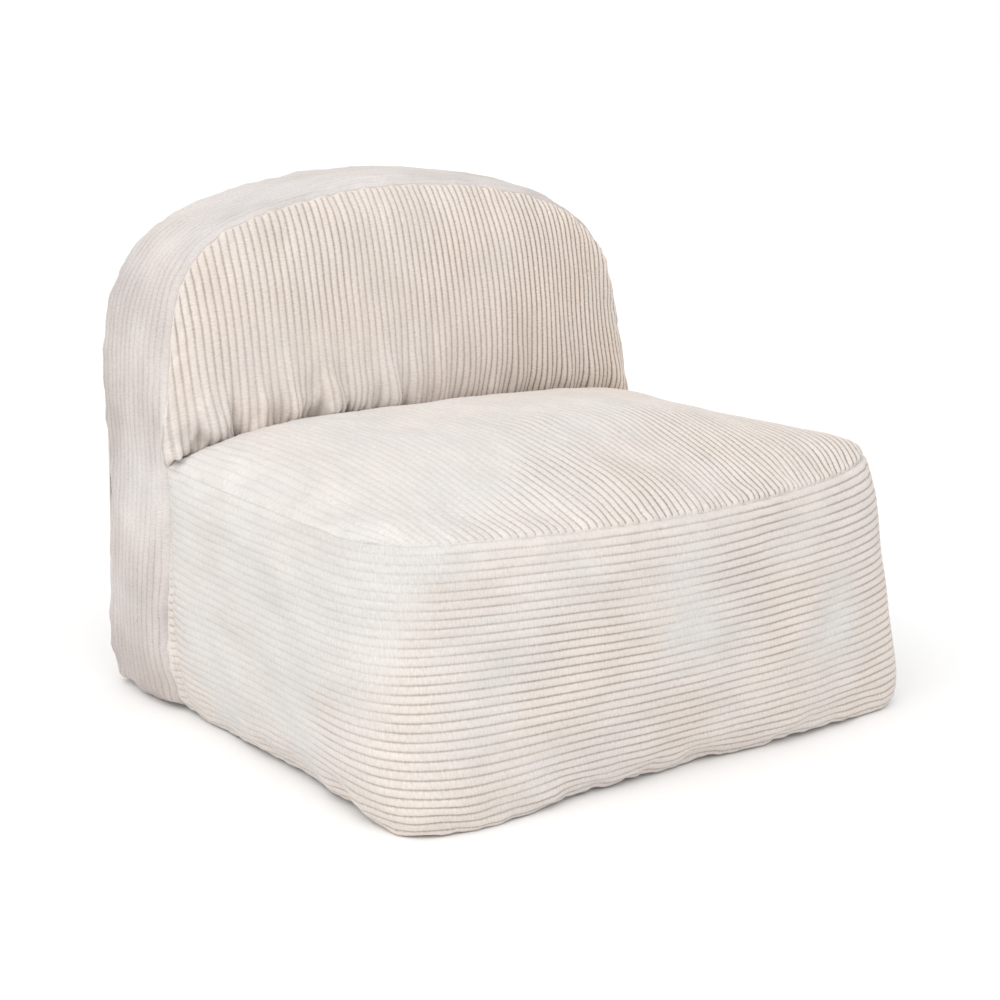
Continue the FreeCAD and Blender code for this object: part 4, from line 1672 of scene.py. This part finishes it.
@dataclass
class Cover:
    """The corduroy cover's six panels and its plain base."""

    shape: FilledCover
    opening: ZipOpening
    # each corduroy finish: crest colour, groove colour with painted shade, brushed colour with
    # painted sheen
    warm: CorduroyFinish = CorduroyFinish(
        "corduroy_backrest", (0.85, 0.75, 0.675), (0.30, 0.23, 0.185), (0.80, 0.735, 0.69))
    pale: CorduroyFinish = CorduroyFinish(
        "corduroy_seat", (0.795, 0.73, 0.68), (0.32, 0.26, 0.22), (0.785, 0.75, 0.725), 0.93)
    plain: CorduroyFinish = CorduroyFinish(
        "corduroy_band", (0.785, 0.72, 0.675), (0.53, 0.46, 0.41), (0.745, 0.715, 0.69), 0.85)
    grey: CorduroyFinish = CorduroyFinish(
        "corduroy_gusset", (0.585, 0.53, 0.505), (0.515, 0.46, 0.435), (0.745, 0.70, 0.68), 0.85)
    under: WovenFinish = WovenFinish("base_cloth", (0.66, 0.62, 0.57), (0.42, 0.39, 0.35))
    base_folds: Ripple = Ripple(21, 0.05, 0.2)
    base_fold: float = 0.0009
    base_rise: float = 0.0006
    base_floor: float = 0.0003
    base_dive: float = 0.0050
    base_cloth: float = 0.0022
    base_step: float = 0.006

    def build(self) -> None:
        """Build every panel."""
        panels = {panel.name: panel for panel in self.shape.panels}
        band, rear = panels["seat_boxing_band"], panels["rear_panel"]
        turned = outline_of(band.flat.transpose(1, 0, 2)[..., ::-1])
        lower, upper = self.rear_outlines(outline_of(rear.flat))
        ribbed = Wales(depth=0.0024, roundness=0.62)
        whole = lambda name, finish, wales, **more: CutPanel(
            name, panels[name], finish, wales, outline_of(panels[name].flat), **more)
        cut = (
            whole("seat_top_panel", self.pale, 77, worn=0.6, sizes=Wales(depth=0.0023)),
            CutPanel("seat_boxing_band", band, self.plain, 32, turned, across_tall=True),
            whole("backrest_front_panel", self.warm, 80, worn=0.35, sizes=ribbed),
            whole("backrest_gusset", self.grey, 14, sizes=Wales(depth=0.0016)),
            CutPanel("rear_upper_panel", rear, self.warm, 80, upper, sizes=ribbed),
            CutPanel("rear_lower_panel", rear, self.warm, 80, lower, sizes=ribbed),
        )
        for panel in cut:
            panel.build()
        self.base(panels["base_panel"])

    def rear_outlines(self, loop: Array) -> tuple[Array, Array]:
        """Cut outlines of the rear panel below and above the zip."""
        height = self.opening.height
        below, above = loop[loop[:, 1] < height - 0.001], loop[loop[:, 1] > height + 0.001]
        near = loop[np.argsort(np.abs(loop[:, 1] - height))[:4]]
        reach = float(np.abs(near[:, 0]).mean())
        turned = lambda part: part[np.argsort(np.arctan2(part[:, 1] - height, part[:, 0]))]
        lower = np.concatenate([turned(below), self.opening.edge(-1, reach)[::-1]])
        return lower, np.concatenate([turned(above), self.opening.edge(1, reach)])

    def base(self, grid: Panel) -> None:
        """Build the plain cloth under the chair."""
        rows, columns = grid.shape.shape[:2]
        row, column = np.indices((rows * 2 - 1, columns * 2 - 1)) / 2
        points = sample_grid(grid.shape, row, column)
        out = unit(sample_grid(grid.lift, row, column))
        rim = steps_from_rim(points) * self.base_step
        fold = self.base_fold * (1 + self.base_folds.at(points)) * smooth_step(rim / 0.06)
        fold = self.base_rise + fold * (1 - zip_lane(points))
        lower = points - out * (self.base_dive * np.exp(-(rim / 0.004) ** 1.4))[..., None]
        lower[..., 2] = np.maximum(lower[..., 2], 0.0) + np.maximum(fold, self.base_floor)
        upper = lower + np.array([0.0, 0.0, self.base_cloth])
        size = row.size
        under = grid_quads(*row.shape)
        over = grid_quads(*row.shape, size)
        ring = outline_of(np.arange(size).reshape(*row.shape, 1))[:, 0]
        rims = np.stack([ring, np.roll(ring, -1), np.roll(ring, -1) + size, ring + size], axis=-1)
        points = np.concatenate([lower.reshape(-1, 3), upper.reshape(-1, 3)])
        piece = plain_mesh("base_panel_cloth", points, [under[:, ::-1], over, rims])
        piece.data.materials.append(self.under.material())
        enrol(piece, Slot.BASE, "base_panel")
        flat = grid.flat.reshape(-1, 2)
        size = (float(np.ptp(flat[:, 0])), float(np.ptp(flat[:, 1])))
        loop_area(outline_of(grid.flat))
        LOG.info("base_panel: cut %.0f x %.0f mm", size[0] * 1000, size[1] * 1000)


# ---------------------------------------------------------------- bags

@dataclass
class Bag:
    """One inner bag: a thin cloth liner and its filling, both shaped like the cover around them."""

    prefix: str
    grids: list[Array]
    inside: Array
    liner_inset: float = 0.0092
    fill_inset: float = 0.0112
    cloth: float = 0.0008
    crumple: float = 0.0012
    floor: float = 0.0078
    zip_room: float = 0.0015
    seed: int = 5

    def build(self) -> None:
        """Build the liner and the filling."""
        liner_points, faces, normals = self.shrunk(self.liner_inset)
        both = np.concatenate([liner_points, liner_points - normals * self.cloth])
        piece = plain_mesh(self.prefix + "_liner_bag", both,
                           [faces, faces[:, ::-1] + len(liner_points)])
        name = self.prefix + "_liner_cloth"
        cloth = WovenFinish(name, (0.82, 0.82, 0.80), (0.62, 0.62, 0.60), 0.0006)
        piece.data.materials.append(cloth.material())
        enrol(piece, Slot.LINER, self.prefix + "_liner")
        area = self.area(liner_points, faces)
        LOG.info("%s_liner: %.2f square metres of cloth", self.prefix, area)
        fill_points, faces, _ = self.shrunk(self.fill_inset)
        fill = plain_mesh(self.prefix + "_fill_beads", fill_points, [faces])
        fill.data.materials.append(BeadFinish(self.prefix + "_beads").material())
        enrol(fill, Slot.BEADS, self.prefix + "_fill")
        LOG.info("%s_fill: %d faces", self.prefix, len(faces))

    def shrunk(self, inset: float) -> tuple[Array, Array, Array]:
        """The bag's closed surface, moved in from the cover.

        Returns:
            Points, faces and outward directions.
        """
        points, numbers = sewn(self.grids)
        faces = []
        for grid, index in zip(self.grids, numbers):
            inward = np.sum(grid_normals(grid) * (grid - self.inside)) < 0
            faces.append(cells_of(index)[:, ::-1] if inward else cells_of(index))
        quads = np.concatenate(faces)
        normals = self.point_normals(points, quads)
        moved = points - normals * inset
        moved -= normals * (self.crumple * (1 + Ripple(self.seed, 0.03, 0.12).at(points)))[:, None]
        floor = self.floor + (inset - self.liner_inset) + self.zip_room * zip_lane(moved)
        moved[:, 2] = np.maximum(moved[:, 2], floor)
        return moved, quads, normals

    @staticmethod
    def face_normals(points: Array, quads: Array) -> Array:
        """Each quad's outward direction, twice its area long."""
        corner = points[quads]
        return np.cross(corner[:, 2] - corner[:, 0], corner[:, 3] - corner[:, 1])

    @classmethod
    def point_normals(cls, points: Array, quads: Array) -> Array:
        """Outward direction at each point of a closed mesh."""
        across = cls.face_normals(points, quads)
        total = np.zeros_like(points)
        for k in range(4):
            np.add.at(total, quads[:, k], across)
        return unit(total)

    @classmethod
    def area(cls, points: Array, quads: Array) -> float:
        """Surface area of a mesh of quads."""
        return float(np.linalg.norm(cls.face_normals(points, quads), axis=1).sum()) / 2


def bag_grids(shape: FilledCover) -> tuple[list[Array], list[Array]]:
    """Split the filled cover at the crease into the surfaces around the two bags."""
    panels = {panel.name: panel.shape for panel in shape.panels}
    top, band, base = panels["seat_top_panel"], panels["seat_boxing_band"], panels["base_panel"]
    split = shape.pattern.side_rows
    wall = coons(base[split], top[-1], band[:, 0], band[:, -1])
    seat = [top, band, base[:split + 1], wall]
    around = [panels[name] for name in ("backrest_front_panel", "backrest_gusset", "rear_panel")]
    return seat, [*around, base[split:], wall]


# ---------------------------------------------------------------- zips

def lined_up(name: str, middle: Place, count: int, pitch: float,
             size: Place, material: bpy.types.Material) -> bpy.types.Object:
    """Make a straight row of small rounded shapes along X.

    Args:
        name: the new object's name.
        middle: the middle of the row.
        count, pitch: how many there are and how far apart.
        size: each one's size.
        material: its finish.

    Returns:
        The row as a plain mesh.
    """
    seedling = bpy.data.meshes.new(name)
    seedling.from_pydata([middle], [], [])
    piece = bpy.data.objects.new(name, seedling)
    bpy.context.scene.collection.objects.link(piece)
    recipe = GeometryRecipe(name, {
        "Count": ("NodeSocketInt", count),
        "Pitch": ("NodeSocketFloat", pitch),
        "Shape Size": ("NodeSocketVector", size),
        "Material": ("NodeSocketMaterial", material),
    })
    bench = recipe.bench
    ball = bench.put("GeometryNodeMeshUVSphere", 8, 5, 0.5)
    line = bench.put("GeometryNodeMeshLine", recipe.socket("Count"), mode="OFFSET")
    step = bench.put("ShaderNodeCombineXYZ", recipe.socket("Pitch"))
    half = bench.times(bench.minus(recipe.socket("Count"), 1.0), -0.5)
    begin = bench.put("ShaderNodeCombineXYZ", bench.times(half, recipe.socket("Pitch")))
    row = bench.fill(line, {"Start Location": begin.outputs[0], "Offset": step.outputs[0]})
    shapes = bench.put("GeometryNodeInstanceOnPoints")
    copies = bench.fill(shapes, {"Points": row, "Instance": ball.outputs["Mesh"],
                                 "Scale": recipe.socket("Shape Size")})
    bounds = bench.put("GeometryNodeBoundBox", recipe.entry.outputs["Geometry"])
    placed = bench.put("GeometryNodeTransform", copies)
    recipe.end(bench.fill(placed, {"Translation": bounds.outputs["Min"]}))
    recipe.bake(piece)
    piece.data.polygons.foreach_set("use_smooth", np.ones(len(piece.data.polygons), bool))
    return piece


@dataclass
class Zip:
    """One zip's visible parts: coil, tapes, stops and slider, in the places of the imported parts."""

    prefix: str
    rows: tuple[str, str]
    body: str
    tooth_pitch: float = 0.0021
    tooth_share: float = 0.86
    taped: WovenFinish = WovenFinish(
        "zip_tape", (0.80, 0.75, 0.69), (0.56, 0.51, 0.46), 0.0007, 0.8)
    coil: HardFinish = HardFinish("zip_coil", (0.84, 0.79, 0.72), (0.70, 0.65, 0.58), 0.42)
    metal: HardFinish = HardFinish("zip_metal", (0.62, 0.60, 0.57), (0.45, 0.44, 0.42), 0.34, 1.0)

    def build(self) -> None:
        """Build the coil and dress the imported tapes, stops and slider."""
        tape, metal = self.taped.material(), self.metal.material()
        coil = self.coil.material()
        for row in self.rows:
            self.dress(f"{self.prefix}_{row}_tape", tape)
            self.teeth(f"{self.prefix}_{row}_teeth", coil)
        self.dress(f"{self.prefix}_end_stops", metal)
        self.dress(f"{self.prefix}_slider", metal)
        LOG.info("%s: coil of %.1f mm pitch", self.prefix, self.tooth_pitch * 1000)

    def dress(self, node: str, material: bpy.types.Material) -> None:
        """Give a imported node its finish."""
        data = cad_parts[node].data
        data.materials.clear()
        data.materials.append(material)

    def teeth(self, node: str, material: bpy.types.Material) -> None:
        """Replace a plain row of teeth with turns of coil, one beside the other."""
        low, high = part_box(node)
        size = (self.tooth_pitch * self.tooth_share, high.y - low.y, high.z - low.z)
        middle = tuple((end + start) / 2 for start, end in zip(low, high))
        count = int((high.x - low.x) / self.tooth_pitch)
        piece = lined_up(node + "_coil", middle, count, self.tooth_pitch, size, material)
        enrol(piece, Slot.TEETH, node, self.body)


@dataclass
class Topstitching:
    """The row of stitches beside the zip on each rear panel."""

    opening: ZipOpening
    rear: float
    stitch: Place = (0.0036, 0.0016, 0.0013)
    pitch: float = 0.0042
    beside: float = 0.0095
    lift: float = 0.0018
    thread: HardFinish = HardFinish("sewing_thread", (0.80, 0.74, 0.68), (0.66, 0.60, 0.54), 0.7)

    def build(self) -> None:
        """Build both rows."""
        material = self.thread.material()
        count = int(2 * self.opening.half_length / self.pitch)
        for name, side in (("rear_lower", -1), ("rear_upper", 1)):
            middle = (0.0, self.rear + self.lift, self.opening.height + side * self.beside)
            piece = lined_up(f"{name}_topstitch", middle, count, self.pitch, self.stitch, material)
            enrol(piece, Slot.CORDUROY)
            LOG.info("%s: %d stitches", piece.name, count)


def main() -> None:
    """Build the studio, the cover, the bags and the zips."""
    Studio().build()
    shape = FilledCover(CoverPattern.from_frame())
    shape.simulate()
    LOG.info("filled cover: %d panels", len(shape.panels))
    opening = ZipOpening.from_frame()
    Cover(shape, opening).build()
    Topstitching(opening, shape.pattern.rear).build()
    seat, back = bag_grids(shape)
    Bag("seat", seat, shape.pattern.seat_inside).build()
    Bag("back", back, shape.pattern.back_inside, seed=9).build()
    Zip("cover_zip", ("lower", "upper"), "chair").build()
    Zip("seat_liner_zip", ("front", "rear"), "chair", 0.0016).build()
    Zip("back_liner_zip", ("front", "rear"), "chair", 0.0016).build()
    box = lambda pair: [list(corner) for corner in pair]
    {"cad": box(CAD_BOX), "visual": box(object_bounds())}


if __name__ == "__main__":
    main()
